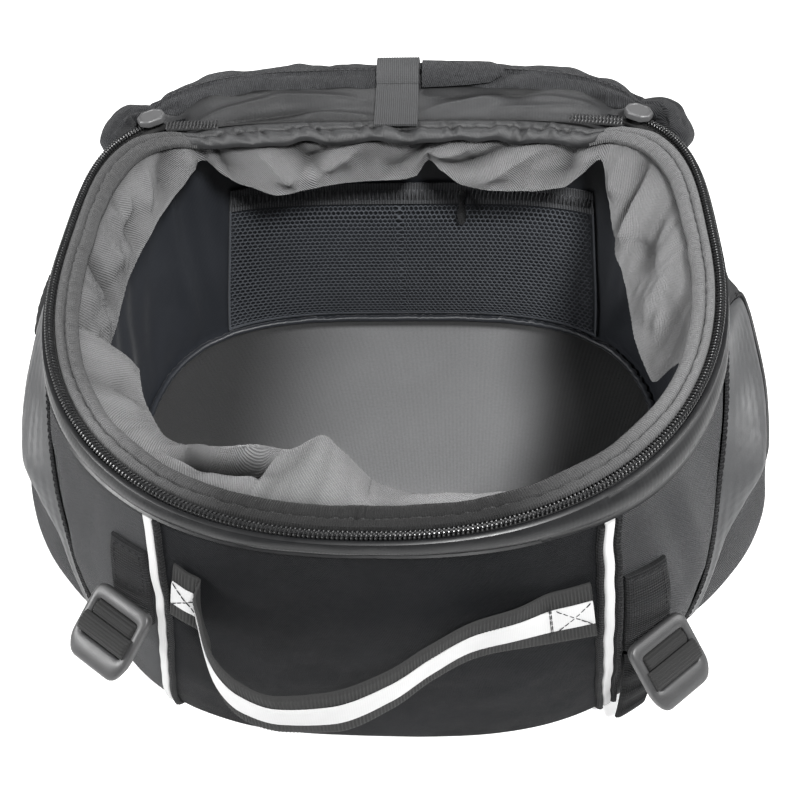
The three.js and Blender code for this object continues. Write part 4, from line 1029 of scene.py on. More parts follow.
class GEARBAG_OT_net_pocket(bpy.types.Operator):
    """Makes the net pocket on the inner back wall with its zip and pull"""

    bl_idname = "gearbag.net_pocket"
    bl_label = "Net pocket"

    def execute(self, context):
        cell = context.scene.gear_bag_sizes.net_cell / MM
        high = cell * 0.86
        corner = np.radians(np.arange(6) * 60 + 30)
        forms = []
        columns, rows = int(2 * NET_HALF / cell) - 1, int((NET_TOP - NET_FOOT) / high) - 1
        for row in range(rows + 1):
            for column in range(columns):
                x = -NET_HALF + cell * (column + 0.75 + 0.5 * (row % 2))
                z = NET_FOOT + high * (row + 0.7)
                outer = np.stack([x + cell / math.sqrt(3) * np.cos(corner), z + high * 0.667 * np.sin(corner)], -1)
                hole = np.array([x, z]) + (outer - [x, z]) * 0.85
                flat = np.concatenate([outer, hole])
                flat[:, 0] = np.clip(flat[:, 0], -NET_HALF, NET_HALF)
                flat[:, 1] = np.clip(flat[:, 1], NET_FOOT, NET_TOP)
                forms.append(flat)
        flat = np.concatenate(forms)
        front, back = net_point(flat[:, 0], flat[:, 1], 0.75), net_point(flat[:, 0], flat[:, 1], 0.15)
        count = len(forms)
        size = 12 * count
        faces = []
        for k in range(6):
            a = (k + 1) % 6
            faces.append([k, a, 6 + a, 6 + k])
            faces.append([size + k, size + 6 + k, size + 6 + a, size + a])
            faces.append([6 + k, 6 + a, size + 6 + a, size + 6 + k])
        faces = (np.array(faces)[None] + 12 * np.arange(count)[:, None, None]).reshape(-1, 4)
        edge_x, edge_z = grid(spread(-NET_HALF, NET_HALF, 4), [NET_FOOT, NET_FOOT + 1.5])
        foot = shell(net_point(edge_x, edge_z, 1.0), net_point(edge_x, edge_z, 0.0))
        side_forms = []
        for side in (-1, 1):
            x, z = grid([side * NET_HALF, side * (NET_HALF - 1.2)], spread(NET_FOOT, NET_TOP, 4))
            side_forms.append(shell(net_point(x, z, 1.1), net_point(x, z, 0.0)))
        net = Form(np.concatenate([front, back]), faces)
        piece("net_pocket", joined([net, foot, *side_forms]), "net cord", ["mesh_pocket"], 30)

        x, z = grid(spread(-NET_HALF, NET_HALF, 1.0), np.linspace(NET_TOP + 0.3, NET_BAND_TOP, 16))
        crown = 0.5 * bell(z, NET_ZIP_Z, 3.2)
        place = net_along(x, z)
        tape = shell(wall(place, z, NET_OUT - 1.5 - crown), wall(place, z, NET_OUT - 0.6))
        line_x = spread(-NET_HALF + 2, NET_HALF - 2, 1.5)
        place = net_along(line_x, NET_ZIP_Z)
        line = wall(place, NET_ZIP_Z, NET_OUT - 2.1)
        out = unit(wall(place, NET_ZIP_Z, NET_OUT - 5) - wall(place, NET_ZIP_Z, NET_OUT))
        teeth = coil(line, out, 3.4, 1.0, 0.5, context.scene.gear_bag_sizes.coil_pitch / MM * 1.25, 8)
        piece("net_zip", joined([tape, teeth]), "net zip tape", ["mesh_zip_band"])

        at = wall(HALF_ROUND - NET_PULL_X, 110.0, NET_OUT - 2.6)
        t = np.linspace(0, 1, 15)
        half = np.interp(t, [0, 0.12, 0.3, 0.42, 0.6, 0.9, 1], [1.6, 2.8, 2.4, 1.8, 3.0, 2.6, 1.4])
        z = 124.5 - 26 * t
        line = np.stack([np.full_like(t, NET_PULL_X), at[1] - 1.6 - 3.0 * np.sin(t * 2.2), z], -1)
        across = np.array([1.0, 0, 0])
        thick = np.interp(t, [0, 0.1, 0.9, 1], [0.4, 1.0, 0.9, 0.4])
        steps = np.array([-1.0, -0.7, 0.7, 1.0])
        flat = line[:, None] + across * (half[:, None] * steps)[:, :, None]
        deep = np.array([0, 1.0, 0]) * (thick[:, None] * np.array([0.3, 1, 1, 0.3]))[:, :, None]
        piece("net_zip_pull", shell(flat - deep, flat + deep), "nylon coil", ["mesh_pull"])
        return {"FINISHED"}


class GEARBAG_OT_rim_zip(bpy.types.Operator):
    """Runs the zip tape, its coil and the coated band around the mouth"""

    bl_idname = "gearbag.rim_zip"
    bl_label = "Rim zip"

    def execute(self, context):
        sizes = context.scene.gear_bag_sizes
        along, out = grid(spread(-ZIP_END, ZIP_END, 3), [-0.9, -2, -3.5, -5, -6.4])
        tape = shell(wall(along, ZIP_TAPE_TOP, out), wall(along, ZIP_TAPE_TOP - 1.3, out))
        piece("zip_tape_cloth", tape, "webbing", ["zip_tape"])

        line_a = spread(-ZIP_END, ZIP_END, 1.5)
        line = wall(line_a, 186.1, COIL_OUT)
        up = np.tile([0.0, 0.0, 1.0], (len(line), 1))
        pitch = sizes.coil_pitch / MM
        teeth = coil(line, up, 1.85, 1.25, sizes.coil_wire / MM, pitch)
        core_line = wall(spread(-ZIP_END, ZIP_END, 4), 186.0, COIL_OUT)
        core = tube(core_line, up[: len(core_line)], 0.95, 6)
        piece("zip_teeth", joined([teeth, core]), "nylon coil", ["zip_coil"])
        piece("zip_tape_stitches", sewn(wall(line_a, 184.5, -3.4), up), "dark thread")

        along = spread(-ZIP_END, ZIP_END, 0.8)
        low = curve_at(FILM_EDGE["along"], FILM_EDGE["low"], along)
        share = np.array([0, 0.05, 0.1, 0.17, 0.28, 0.38, 0.48, 0.58, 0.68, 0.8, 0.88, 0.94, 1.0])
        height = np.array([0.7, 1.7, 2.2, 1.4, 2.0, 2.5, 2.7, 2.7, 2.5, 2.1, 1.6, 2.4, 1.5])
        a, s = grid(along, share)
        z = low[:, None] + (ZIP_TAPE_TOP - low[:, None]) * s
        rows = bell(s, 0.38, 0.1) - bell(s, 0.66, 0.1)
        scallop = 0.2 * np.sin(math.tau * a / pitch) * rows
        sway = ripple(a, z, 31, (45, 80, 140), 0.35) * np.sin(np.pi * s)
        broad = bell(a, 165, 60) * np.sin(np.pi * s) * 1.6
        front = wall(a, z, np.interp(s, share, height) + scallop + sway + broad)
        back = wall(a, z, 0.55 + 0 * s)
        piece("film_rim", shell(front, back), "coated film", ["film_band"], 60)
        return {"FINISHED"}


def hem_rows(along):
    return row_at(HEM, "along", np.abs(wrap(along)))


def gathers(along, seed, lengths, height):
    return ripple(along, 0 * along, seed, lengths, height)


class GEARBAG_OT_liner(bpy.types.Operator):
    """Gathers the liner's hem inside the zip and hangs its folds into the bag"""

    bl_idname = "gearbag.liner"
    bl_label = "Liner"

    def execute(self, context):
        wave = context.scene.gear_bag_sizes.liner_wave / MM
        along = around(HEM_POINTS)
        row = hem_rows(along)
        share = np.array(
            [0, 0.05, 0.12, 0.2, 0.28, 0.34, HEM_GROOVE, 0.43, 0.48, 0.56, 0.66, 0.76, 0.85, 0.92, 0.97, 1.0]
        )
        a, s = grid(along, share)
        outer, inner = row["outer"][:, None], row["inner"][:, None]
        back = np.clip((np.abs(wrap(a)) - 430) / 30, 0, 1)
        groove = bell(s, HEM_GROOVE, 0.05)
        pucker = gathers(a, 41, (4.5, 6.5, 10), 1.05) * (np.sin(np.pi * s) ** 0.7 + 0.5 * groove)
        lip = gathers(a + 9 * s, 44, (7, 12, 19), 2.0) * np.sin(np.pi * s) + 1.4 * bell(s, 0.75, 0.22)
        lip = back * (lip + gathers(a, 43, (26, 41, 60), 2.6) * s)
        bands = 1.1 * np.sin(np.pi * np.clip(s / HEM_GROOVE, 0, 1)) ** 0.6
        bands += 2.0 * np.sin(np.pi * np.clip((s - HEM_GROOVE) / (1 - HEM_GROOVE), 0, 1)) ** 0.5
        z_top = HEM_FOOT + HEM_THICK - HEM_DIP * s**1.6 + bands * 0.75 - 0.9 * groove + pucker * 0.8 + lip
        in_out = -(outer + (inner - outer) * s) + gathers(a, 47, (33, 58, 90), 0.9) * s * (1 + back)
        top = wall(a, z_top, in_out)
        under = wall(a, HEM_FOOT - HEM_DIP * s**1.6 - 0.2 + lip * 0.8, in_out + 0.6 * s)
        reach = int(round(HEM_FRONT_REACH / ROUND * HEM_POINTS))
        front = np.arange(-reach, reach + 1)
        rear = np.arange(reach - 2, HEM_POINTS - reach + 3)
        hem = piece("liner_gathered_hem", shell(top[front], under[front]), "gathered hem", ["liner_hem"])
        # Painted shade on the hem: darker along the front, and about half as dark round the left.
        x, y = top[front, :, 0], top[front, :, 1]
        ahead = np.clip((150 - np.abs(x)) / 90, 0, 1) * np.clip((-60 - y) / 40, 0, 1)
        side_shade = 0.55 * np.clip((-100 - x) / 30, 0, 1) * np.clip((y + 110) / 60, 0, 1)
        shaded(hem, np.maximum(ahead, side_shade))
        back_hem = shell(top[rear] + [0, 0, 0.15], under[rear])
        back_hem = piece("liner_back_hem", back_hem, "crumpled satin")
        # Painted shade in the back hem's hollows, along its outer edge and in its groove.
        shade = np.clip(-lip / 2.2, 0, 0.8) + 0.8 * np.exp(-s / 0.06) + 0.6 * groove
        shaded(back_hem, np.clip(shade[rear], 0, 0.9))
        up = normals(top, True)
        up = np.where(up[:, :, 2:] < 0, -up, up)
        line, rise = top[front, 6], up[front, 6]
        threads = piece("hem_stitches", sewn(line, rise, 0.75), "grey thread")

        along = around(468)
        edge = looped_row_at(SKIRT, along)
        rim = hem_rows(along)
        share = np.linspace(0, 1, 30)
        a, t = grid(along, share)
        drop = edge["drop"][:, None]
        start = -rim["inner"][:, None] + 4.5
        z = HEM_FOOT - HEM_DIP - 0.4 - drop * t**1.15
        # Painted shade on the liner: darker at the front, on the left and at the back, where it darkens most near the
        # top.
        shade = 0.25 * bell(wrap(a + 40), 0, 110) + 0.2 * bell(wrap(a + 290), 0, 110)
        shade = shade + (0.12 + 0.35 * np.exp(-t / 0.3)) * bell(wrap(a - HALF_ROUND), 0, 170)
        for k, middle in enumerate(SKIRT_HOLLOWS["along"]):
            u = (a - middle) / SKIRT_HOLLOWS["spread"][k]
            v = (t - SKIRT_HOLLOWS["share"][k]) / SKIRT_HOLLOWS["reach"][k]
            sunk = np.clip(1 - u * u, 0, 1) ** 0.7 * np.clip(1 - v * v, 0, 1)
            z = z - SKIRT_HOLLOWS["depth"][k] * sunk
            # Painted shade in the hollows.
            shade = np.maximum(shade, np.clip(sunk * 2.4, 0, 0.95))
        out = start + (-edge["inset"][:, None] - start) * t**0.7
        fade = np.sin(np.pi * np.clip(t, 0, 1) * 0.5) ** 0.6
        folds = creases(a, t * 60, SKIRT_PLEATS, ("along", "share", "to_along", "to_share"))
        folds += gathers(a, 51, (9, 14, 22), 1.0) * np.exp(-t / 0.35)
        folds += ripple(a, z, 53, (17, 29, 46), wave)
        fade = fade * (1 - 0.75 * np.clip((t - 0.72) / 0.28, 0, 1))
        cloth = wall(a, z, out + 1.6 * folds * fade)
        n, m = a.shape
        i, j = index_pairs(n, m - 1)
        after = (i + 1) % n
        faces = np.stack([i * m + j, after * m + j, after * m + j + 1, i * m + j + 1], 1)
        held = np.where(t < 0.05, 1.0, np.where(t > 0.97, 0.75, 0.4))
        cloth = simulated(cloth.reshape(-1, 3), faces, held.ravel(), 3.0, 20, 0.015, gravity=0.3).reshape(n, m, 3)
        thick = normals(cloth, True) * 1.5
        # More painted shade in the pleats' valleys and just under the hem.
        shade = np.clip(shade + 0.5 * np.clip(folds / 4, 0, 1) * (t < 0.96) + 0.7 * np.exp(-t / 0.07), 0, 1)
        skirt = piece("liner_folds", shell(cloth, cloth - thick, True), "liner twill", ["liner_skirt"])
        shaded(skirt, shade)
        return {"FINISHED"}


def shaded(cloth, shade):
    """Writes the painted shade of each point of a cloth, alike on both its sides, for its finish to read."""
    values = cloth.data.attributes.new(PAINTED_SHADE, "FLOAT", "POINT")
    values.data.foreach_set("value", np.resize(shade, len(values.data)).astype(np.float32))


def fold_ring(x, turns, grow=0.0):
    """Points round the padded fold at these places along it."""
    row, before, after = (row_at(FOLD, "x", x + step) for step in (0.0, -2.0, 2.0))
    tangent = unit(np.stack([np.full_like(x, 4.0), after["y"] - before["y"], after["z"] - before["z"]], -1))
    side = unit(np.cross(np.array([0, 0, 1.0]), tangent))
    up = np.cross(tangent, side)
    centre = np.stack([x, row["y"], row["z"]], -1)
    radius = (row["r"][:, None] + grow)[:, :, None]
    cos, sin = np.cos(turns)[..., None], np.sin(turns)[..., None]
    return centre[:, None] + radius * (side[:, None] * cos + up[:, None] * sin)


# Creases of the hinge cloth: across the bag and through its depth in fortieths, then width and depth.
HINGE_FOLDS = table(
    "x share to_x to_share width depth",
    (-118, 8, -72, 30, 5, 2.6), (-96, 4, -40, 14, 4, -2.4), (-70, 32, -20, 24, 5, 2.4), (-52, 10, -14, 6, 4, 2.0),
    (18, 8, 62, 28, 6, 3.0), (30, 28, 88, 34, 5, -2.6), (58, 8, 118, 20, 6, 2.8), (84, 30, 124, 24, 5, 2.0),
)


class GEARBAG_OT_back_edge(bpy.types.Operator):
    """Pads the fold along the back, with its hinge cloth, elastic and strap end"""

    bl_idname = "gearbag.back_edge"
    bl_label = "Back edge"

    def execute(self, context):
        x = spread(-FOLD_HALF, FOLD_HALF, 1.8)
        turns = full_turn(36)
        xx, tt = grid(x, turns)
        lumps = ripple(xx, tt * 12, 61, (13, 21, 38), 1.5) - 0.8
        seam = -1.8 * bell(tt, math.radians(114), 0.1) + 1.3 * bell(tt, math.radians(98), 0.12)
        ends = np.clip((FOLD_HALF - np.abs(xx)) / 10, 0.25, 1) ** 0.5
        radius_change = (lumps + seam) * ends + (ends - 1) * 6
        rings = fold_ring(x, np.tile(turns, (len(x), 1)), radius_change)
        pad = piece("lid_padded_fold", puffed(stack(rings), 1.5), "padded knit", ["lid_fold"])
        seam_x = spread(-138, 138, 1.5)
        seam_turn = np.full((len(seam_x), 1), math.radians(105))
        line = fold_ring(seam_x, seam_turn, 0.15)[:, 0]
        rise = line - fold_ring(seam_x, seam_turn, -3)[:, 0]
        piece("fold_seam_stitches", sewn(line, unit(rise)), "grey thread")

        x = spread(-FOLD_HALF, FOLD_HALF, 2)
        inner = back_wall_y(x) - HINGE_INSET + 22 * np.clip((np.abs(x) - 122) / 10, 0, 1)
        row = row_at(FOLD, "x", x)
        outer = row["y"] - row["r"] + 2.4
        share = np.linspace(0, 1, 22)
        xx, s = grid(x, share)
        y = inner[:, None] + (outer - inner)[:, None] * s
        z = 186 + 1.6 * s + 2.4 * s**3
        folds = creases(xx, s * 40, HINGE_FOLDS, ("x", "share", "to_x", "to_share"))
        z = z + (ripple(xx * 0.6 + y * 0.5, y, 65, (19, 34, 55), 1.2) + folds + 0.6) * np.sin(np.pi * s) ** 0.6
        z = z - 6 * np.clip((np.abs(xx) - 108) / 20, 0, 1) ** 2
        top = np.stack([xx, y, z], -1)
        hinge = piece("hinge_cloth", shell(top, top - [0, 0, 1.7]), "crumpled satin", ["hinge_strip"])
        # Painted shade in the hinge's creases, along both its edges and towards its left end.
        shade = np.clip(-folds / 2.4, 0, 0.75) + 0.9 * np.exp(-s / 0.07) + 0.9 * np.exp((s - 1) / 0.09)
        shaded(hinge, np.clip(shade + 0.3 * np.clip(-xx / 60, 0, 1), 0, 0.9))

        self.elastic()
        x = spread(17, 66, 1.2)
        first = np.interp(x, [17, 30, 45, 58, 66], [158, 156, 152, 146, 126])
        last = np.interp(x, [17, 30, 45, 58, 66], [74, 78, 80, 84, 104])
        share = np.linspace(0, 1, 16)
        turns = np.radians(first[:, None] + (last - first)[:, None] * share)
        xx, s = grid(x, share)
        round_off = np.sin(np.pi * np.clip(s, 0.02, 0.98)) ** 0.4 * np.clip((66.5 - xx) / 4, 0.2, 1) ** 0.5
        lumps = ripple(xx, s * 30, 71, (7, 12, 19), 0.45)
        top = fold_ring(x, turns, 1.0 + (2.5 + lumps) * round_off)
        form = shell(top, fold_ring(x, turns, 0.9 + 0 * s))
        roll = piece("strap_rolled_end", form, "padded knit", ["strap_end"])
        return {"FINISHED"}

    def elastic(self):
        x = np.linspace(-10.5, 15, 41)
        turns = np.radians(np.linspace(152, 20, 30))
        over = fold_ring(x, np.tile(turns, (len(x), 1)), 1.5)
        inner = back_wall_y(x) - HINGE_INSET
        rise = ((-9, 188.4), (-4, 188.5), (2, 188.7), (8, 189.2), (14, 190))
        start = np.stack([np.stack([x, inner + dy, np.full_like(x, z)], -1) for dy, z in rise], 1)
        line = np.concatenate([start, over], 1)
        ribs = 0.16 * np.cos(math.tau * x / 1.6)[:, None, None]
        up = normals(line)
        up = np.where((up * np.array([0, -0.2, 1.0])).sum(-1, keepdims=True) < 0, -up, up)
        up[:, -8:] = unit(over[:, -8:] - fold_ring(x, np.tile(turns[-8:], (len(x), 1)), -4))
        band = shell(line + up * (1.5 + ribs), line + up * 0.1)
        piece("elastic_band", band, "elastic", ["elastic_loop"])


def lid_point(f, s):
    row = row_at(LID_PATH, "s", s)
    section = {name: curve_at(WALL["z"], WALL[name], 180.0) for name in WALL}
    half = side_x(section["back"] - 22 - s, np.full(np.shape(s), 180.0))
    x = f * half
    fold = row_at(FOLD, "x", np.minimum(np.abs(x), 147))
    hug = fold["y"] + fold["r"] - 198.5
    fade = np.clip(1 - s / 120, 0, 1) ** 1.5
    return np.stack([x, row["y"] + hug * fade, row["z"]], -1)


class GEARBAG_OT_lid(bpy.types.Operator):
    """Turns the lid back over its fold, down behind the bag and out on the floor"""

    bl_idname = "gearbag.lid"
    bl_label = "Turned back lid"

    def execute(self, context):
        sizes = context.scene.gear_bag_sizes
        f, s = grid(np.linspace(-1, 1, 71), np.linspace(0, LID_LENGTH, 81))
        middle = lid_point(f, s)
        up = normals(middle)
        edge = np.minimum((1 - np.abs(f)) * 150, np.minimum(LID_LENGTH - s, s + 30))
        pad = LID_THICK / 2 * np.clip(0.35 + edge / 14, 0, 1) ** 0.6
        quilt = -0.7 * bell(edge, 16, 2.0)
        wave = ripple(middle[..., 0], s, 81, (50, 80, 130), 0.5) * np.clip(edge / 30, 0, 1)
        low = np.maximum(-pad, 0.3 - middle[..., 2])
        top = middle + up * (pad + quilt + np.maximum(wave, -0.8))[..., None]
        under = middle + up * low[..., None]
        panel = piece("lid_padded_panel", shell(top, under), "side twill", ["lid_panel"])

        f = np.concatenate([np.full(60, -1.0), np.linspace(-1, 1, 45)[1:-1], np.full(60, 1.0)])
        s = np.concatenate([np.linspace(70, LID_LENGTH, 60), np.full(43, LID_LENGTH), np.linspace(LID_LENGTH, 70, 60)])
        edge_line = lid_point(f, s)
        ahead, behind = row_at(LID_PATH, "s", s + 5), row_at(LID_PATH, "s", s - 5)
        down = unit(np.stack([0 * s, ahead["y"] - behind["y"], ahead["z"] - behind["z"]], -1))
        out = np.stack([0 * s, -down[:, 2], down[:, 1]], -1)
        inward = unit(np.stack([-edge_line[:, 0], 0 * s, 0 * s], -1) + down * (LID_MIDDLE_S - s)[:, None])

        def level(inset, lift):
            return edge_line + inward * inset + out * (LID_THICK / 2 + lift)

        lifts = np.linspace(0.6, BOXING_TALL, 12)
        sag = 1.2 * np.sin(np.pi * np.linspace(0, 1, 12))
        front, back = (
            np.stack([level(inset - g, lift) for g, lift in zip(sag, lifts)], 1) for inset in (1.5, 3.6)
        )
        piece("lid_film_boxing", shell(front, back), "coated film", ["lid_boxing"])
        line = level(2.6, BOXING_TALL + 2.2)
        at = np.linspace(0, length_of(line), 500)
        line, rise = resampled(line, at, out)
        teeth = coil(line, rise, 1.35, 2.0, sizes.coil_wire / MM, sizes.coil_pitch / MM, 6)
        piece("lid_zip_teeth", joined([teeth, tube(line, rise, 0.9, 6)]), "nylon coil", ["lid_coil"])
        rows = [sewn(*resampled(level(1.2 - sag[k], lifts[k]), at, -inward)) for k in (1, 10)]
        piece("boxing_stitches", joined(rows), "dark thread")

        for name, sign in SIDES.items():
            t = np.linspace(0, 1, 44)
            keys = np.linspace(0, 1, len(LOBE["x"]))
            path = np.stack([curve_at(keys, LOBE[axis], t) for axis in "xyz"], -1) * (sign, 1, 1)
            run = unit(np.gradient(path, axis=0))
            side = unit(np.cross([0, 0, 1.0], run))
            up = np.cross(run, side)
            u, turn = grid(t, full_turn(28))
            crease = sum(deep * bell(turn - at, 0.9 * (u - 0.5), 0.16) for at, deep in LOBE_CREASES)
            crease = crease * np.sin(np.pi * u)
            lumps = ripple(u * 34, turn * 8, 91, (9, 15, 22), 0.8)
            cap = np.clip(np.minimum(u, 1 - u) / 0.12, 0, 1) ** 0.5
            radius = (curve_at(keys, LOBE["r"], t)[:, None] + 0.2 + crease + lumps) * (0.25 + 0.75 * cap)
            ring = side[:, None] * np.cos(turn)[..., None] + up[:, None] * np.sin(turn)[..., None]
            lobe = puffed(stack(path[:, None] + ring * radius[..., None]), 1.0)
            lobe = piece(f"lid_corner_gusset_{name}", lobe, "side twill", [f"lid_corner_{name}"])
        return {"FINISHED"}


def plate(outline, levels):
    """Bevelled plate: an outline grown or shrunk level by level."""
    rings = [np.column_stack([outline * 0.2, np.full(len(outline), levels[0][1])])]
    rings += [np.column_stack([outline * (1 - inset), np.full(len(outline), z)]) for inset, z in levels]
    rings.append(np.column_stack([outline * 0.2, np.full(len(outline), levels[-1][1])]))
    return np.stack(rings)


def placed(form, matrix):
    turn = np.array(matrix.to_3x3())
    form.points = form.points @ turn.T + np.array(matrix.translation)
    return form.turned_out()


class GEARBAG_OT_sliders(bpy.types.Operator):
    """Puts the two sliders and the closed runs of zip beside them at the back corners"""

    bl_idname = "gearbag.sliders"
    bl_label = "Zip sliders"

    def execute(self, context):
        sizes = context.scene.gear_bag_sizes
        corners = np.array(
            [(-8.2, -2.6), (-4.2, -6), (4.2, -6), (8.2, -2.6), (8.2, 2.6), (4.2, 6), (-4.2, 6), (-8.2, 2.6)]
        )
        ring = np.concatenate([corners, corners[:1]])
        outline = np.stack([ring[k] + (ring[k + 1] - ring[k]) * t for k in range(8) for t in (0.1, 0.5, 0.9)])
        levels = [(0.08, 0.0), (0.0, 0.6), (0.0, 3.2), (0.03, 3.8), (0.09, 4.2), (0.2, 4.3), (0.24, 4.0), (0.6, 4.0)]
        for name, sign in SIDES.items():
            seat, ahead = (wall(sign * (ZIP_END - back), SLIDER_Z, SLIDER_OUT) for back in (8, 4))
            turn = math.atan2(ahead[1] - seat[1], ahead[0] - seat[0])
            matrix = Matrix.Translation(seat) @ Matrix.Rotation(turn, 4, "Z")
            body = placed(stack(plate(outline, levels)), matrix)
            piece(f"zip_slider_body_{name}", body, "slider metal", [f"zip_slider_{name}"], 30)

            (x0, y0), (x1, y1) = CHAINS[name]
            t = np.linspace(0, 1, 40)[:, None]
            start, end = np.array([x0, y0, CHAIN_Z]), np.array([x1, y1, CHAIN_Z])
            line = start + (end - start) * t
            run = unit(end - start)
            side = np.array([run[1], -run[0], 0])
            up = np.tile([0, 0, 1.0], (40, 1))
            pitch = sizes.coil_pitch / MM
            forms = [coil(line + side * off, up, 1.75, 1.15, 0.5, pitch, 8) for off in (-1.6, 1.6)]
            u, v = grid(np.linspace(0, 1, 20), np.linspace(-1, 1, 5))
            base = start + (end - start) * u[..., None] + side * (3.4 * v)[..., None]
            forms.append(shell(base + [0, 0, -0.4], base + [0, 0, -1.2]))
            piece(f"closed_zip_{name}", joined(forms), "moulded plastic", [f"zip_chain_{name}"])
        return {"FINISHED"}


class GEARBAG_OT_front_strips(bpy.types.Operator):
    """Sews the reflective strips and their bindings over the front seams"""

    bl_idname = "gearbag.front_strips"
    bl_label = "Reflective strips"

    def strip(self, side, start, stop, top, out, thick, wave, seed):
        a, z = grid(np.linspace(start, stop, 8), spread(STRIP_FOOT, top, 1.6))
        sway = ripple(0 * z, z, seed, (19, 34, 55), 0.5)
        lift = ripple(0 * z, z, seed + 1, (15, 24, 40), wave)
        edge = np.minimum(np.abs(a - start), np.abs(a - stop))
        round_off = np.clip(edge / 0.6, 0, 1) ** 0.5
        along = seam_at(side, z) + a + sway
        return wall(along, z, out + 0.3 + (thick - 0.3) * round_off + lift), wall(along, z, out + 0 * z)

    def execute(self, context):
        for name, sign in SIDES.items():
            top = float(curve_at(FILM_EDGE["along"], FILM_EDGE["low"], seam_at(name, 170))) - 0.6
            half = STRIP_WIDE / 2
            seed = 90 + sign
            form = shell(*self.strip(name, -half, half, top, 0.5, 1.2, 0.28, seed))
            piece(f"reflective_tape_{name}", form, "reflective tape", [f"reflective_strip_{name}"])
            bands, threads = [], []
            for side in (-sign,) if name == "left" else (-sign, sign):
                first = side * (half + 0.35)
                front, back = self.strip(name, first, first + side * 3.1, top, 0.4, 1.9, 0.2, seed)
                bands.append(shell(front, back))
                threads.append(sewn(front[4], normals(front)[4]))
            piece(f"seam_tape_{name}", joined(bands), "crossed webbing", [f"seam_binding_{name}"])
            piece(f"seam_stitches_{name}", joined(threads), "dark thread")
        return {"FINISHED"}


def handle_lines():
    """Lower and upper edge of the carrying webbing, from its left sewn end to its right one."""
    low, high = [], []
    half = HANDLE_WIDE / 2

    def end(first, last):
        for share in (0, 0.5, 1):
            along, z = (first[k] + (last[k] - first[k]) * share for k in (0, 1))
            low.append(wall(along, z - half, 1.7))
            high.append(wall(along, z + half, 1.7))

    end(*HANDLE_ENDS[0])
    for k in range(len(HANDLE_RUN["x"])):
        turn = math.radians(HANDLE_RUN["lean"][k])
        up = np.array([0, -math.sin(turn), math.cos(turn)]) * half
        centre = np.array([HANDLE_RUN[axis][k] for axis in "xyz"])
        low.append(centre - up)
        high.append(centre + up)
    end(*HANDLE_ENDS[1])
    return np.array(low), np.array(high)


class GEARBAG_OT_carrying_strap(bpy.types.Operator):
    """Sews on the carrying webbing with its reflective stripe and crossed stitching"""

    bl_idname = "gearbag.carrying_strap"
    bl_label = "Carrying strap"

    def execute(self, context):
        low, high = handle_lines()
        keys = distance_along((low + high) / 2)
        total = keys[-1]
        at = spread(0, total, 0.42)
        low = np.stack([curve_at(keys, low[:, k], at) for k in range(3)], -1)
        high = np.stack([curve_at(keys, high[:, k], at) for k in range(3)], -1)
        share = np.linspace(0, 1, HANDLE_COLUMNS + 1)
        middle = low[:, None] + (high - low)[:, None] * share[None, :, None]
        s, w = grid(at, share)
        up = normals(middle)
        halfway = len(at) // 2, HANDLE_COLUMNS // 2
        if up[halfway] @ (middle[halfway] * (0, 1, 0)) < 0:
            up = -up
        pitch = context.scene.gear_bag_sizes.rib_pitch / MM
        ribs = 0.24 * np.sin(math.tau * s / pitch) * np.clip(np.minimum(w, 1 - w) / 0.02, 0, 1)
        edge = np.clip(np.minimum(w, 1 - w) / 0.03, 0.25, 1)
        curl = 0.25 * ripple(s, w * HANDLE_WIDE, 101, (28, 44), 1.0)
        free = np.clip(np.minimum(at - 18, total - 24 - at) / 12, 0, 1)[:, None]
        curl = curl * free
        front = middle + up * (0.9 * HANDLE_THICK * (0.5 + 0.5 * edge) + ribs + curl)[..., None]
        back = middle + up * (0.1 * HANDLE_THICK * edge - 0.2 * ribs + curl)[..., None]
        piece("carrying_webbing", shell(front, back), "webbing", ["carry_strap"])

        def on_strap(s_at, across, lift):
            """Points on the strap's outer face, by distance along and millimetres from its middle."""
            k = np.clip(np.round(np.asarray(s_at) / total * (len(at) - 1)).astype(int), 0, len(at) - 1)
            t = 0.5 + np.asarray(across) / HANDLE_WIDE
            base = low[k] + (high[k] - low[k]) * t[..., None]
            j = np.clip(np.round(t * HANDLE_COLUMNS).astype(int), 0, HANDLE_COLUMNS)
            return base + up[k, j] * (HANDLE_THICK + np.asarray(lift))[..., None], up[k, j]

        half = STRIPE_WIDE / 2
        ss, ww = grid(spread(0.5, total - 0.5, 1.2), np.linspace(-half, half, 11))
        wave = ripple(ss, ww, 103, (19, 31), 0.22)
        rim = np.clip((half - np.abs(ww)) / 0.8, 0.2, 1)
        front = on_strap(ss, ww, 0.35 + 0.55 * rim + wave * rim)[0]
        back = on_strap(ss, ww, 0.05 + 0 * ss)[0]
        piece("reflective_stripe", shell(front, back), "reflective tape", ["carry_stripe"])

        threads = []

        def row(start, stop):
            t = np.linspace(0, 1, 60)
            distance, across = (start[k] + (stop[k] - start[k]) * t for k in (0, 1))
            line, rise = on_strap(distance, across, 0.95 + 0 * t)
            threads.append(stitches(line, rise, 3.6, 0.1, 0.26))

        a, b = -half + 0.4, half - 0.4
        for first, last in ((1.0, 16), (total - 18, total - 1.5)):
            row((first, a), (last, b))
            row((first, b), (last, a))
        for bar in (18.0, total - 21, total - 21.8):
            row((bar, a - 3), (bar, b + 3))
        piece("crossed_stitches", joined(threads), "dark thread")
        return {"FINISHED"}


def buckle_matrix(name):
    seat = BUCKLE_SEAT[name]
    heading, lean = math.radians(seat["heading"]), math.radians(seat["lean"])
    outward = Vector((math.cos(heading), math.sin(heading), 0))
    up = Vector((0, 0, math.cos(lean))) - outward * math.sin(lean)
    across = up.cross(Vector((0, 0, math.sin(lean))) + outward * math.cos(lean))
    face = across.cross(up)
    matrix = Matrix((across, up, face)).transposed().to_4x4()
    matrix.translation = Vector(wall(*seat["at"]))
    return matrix


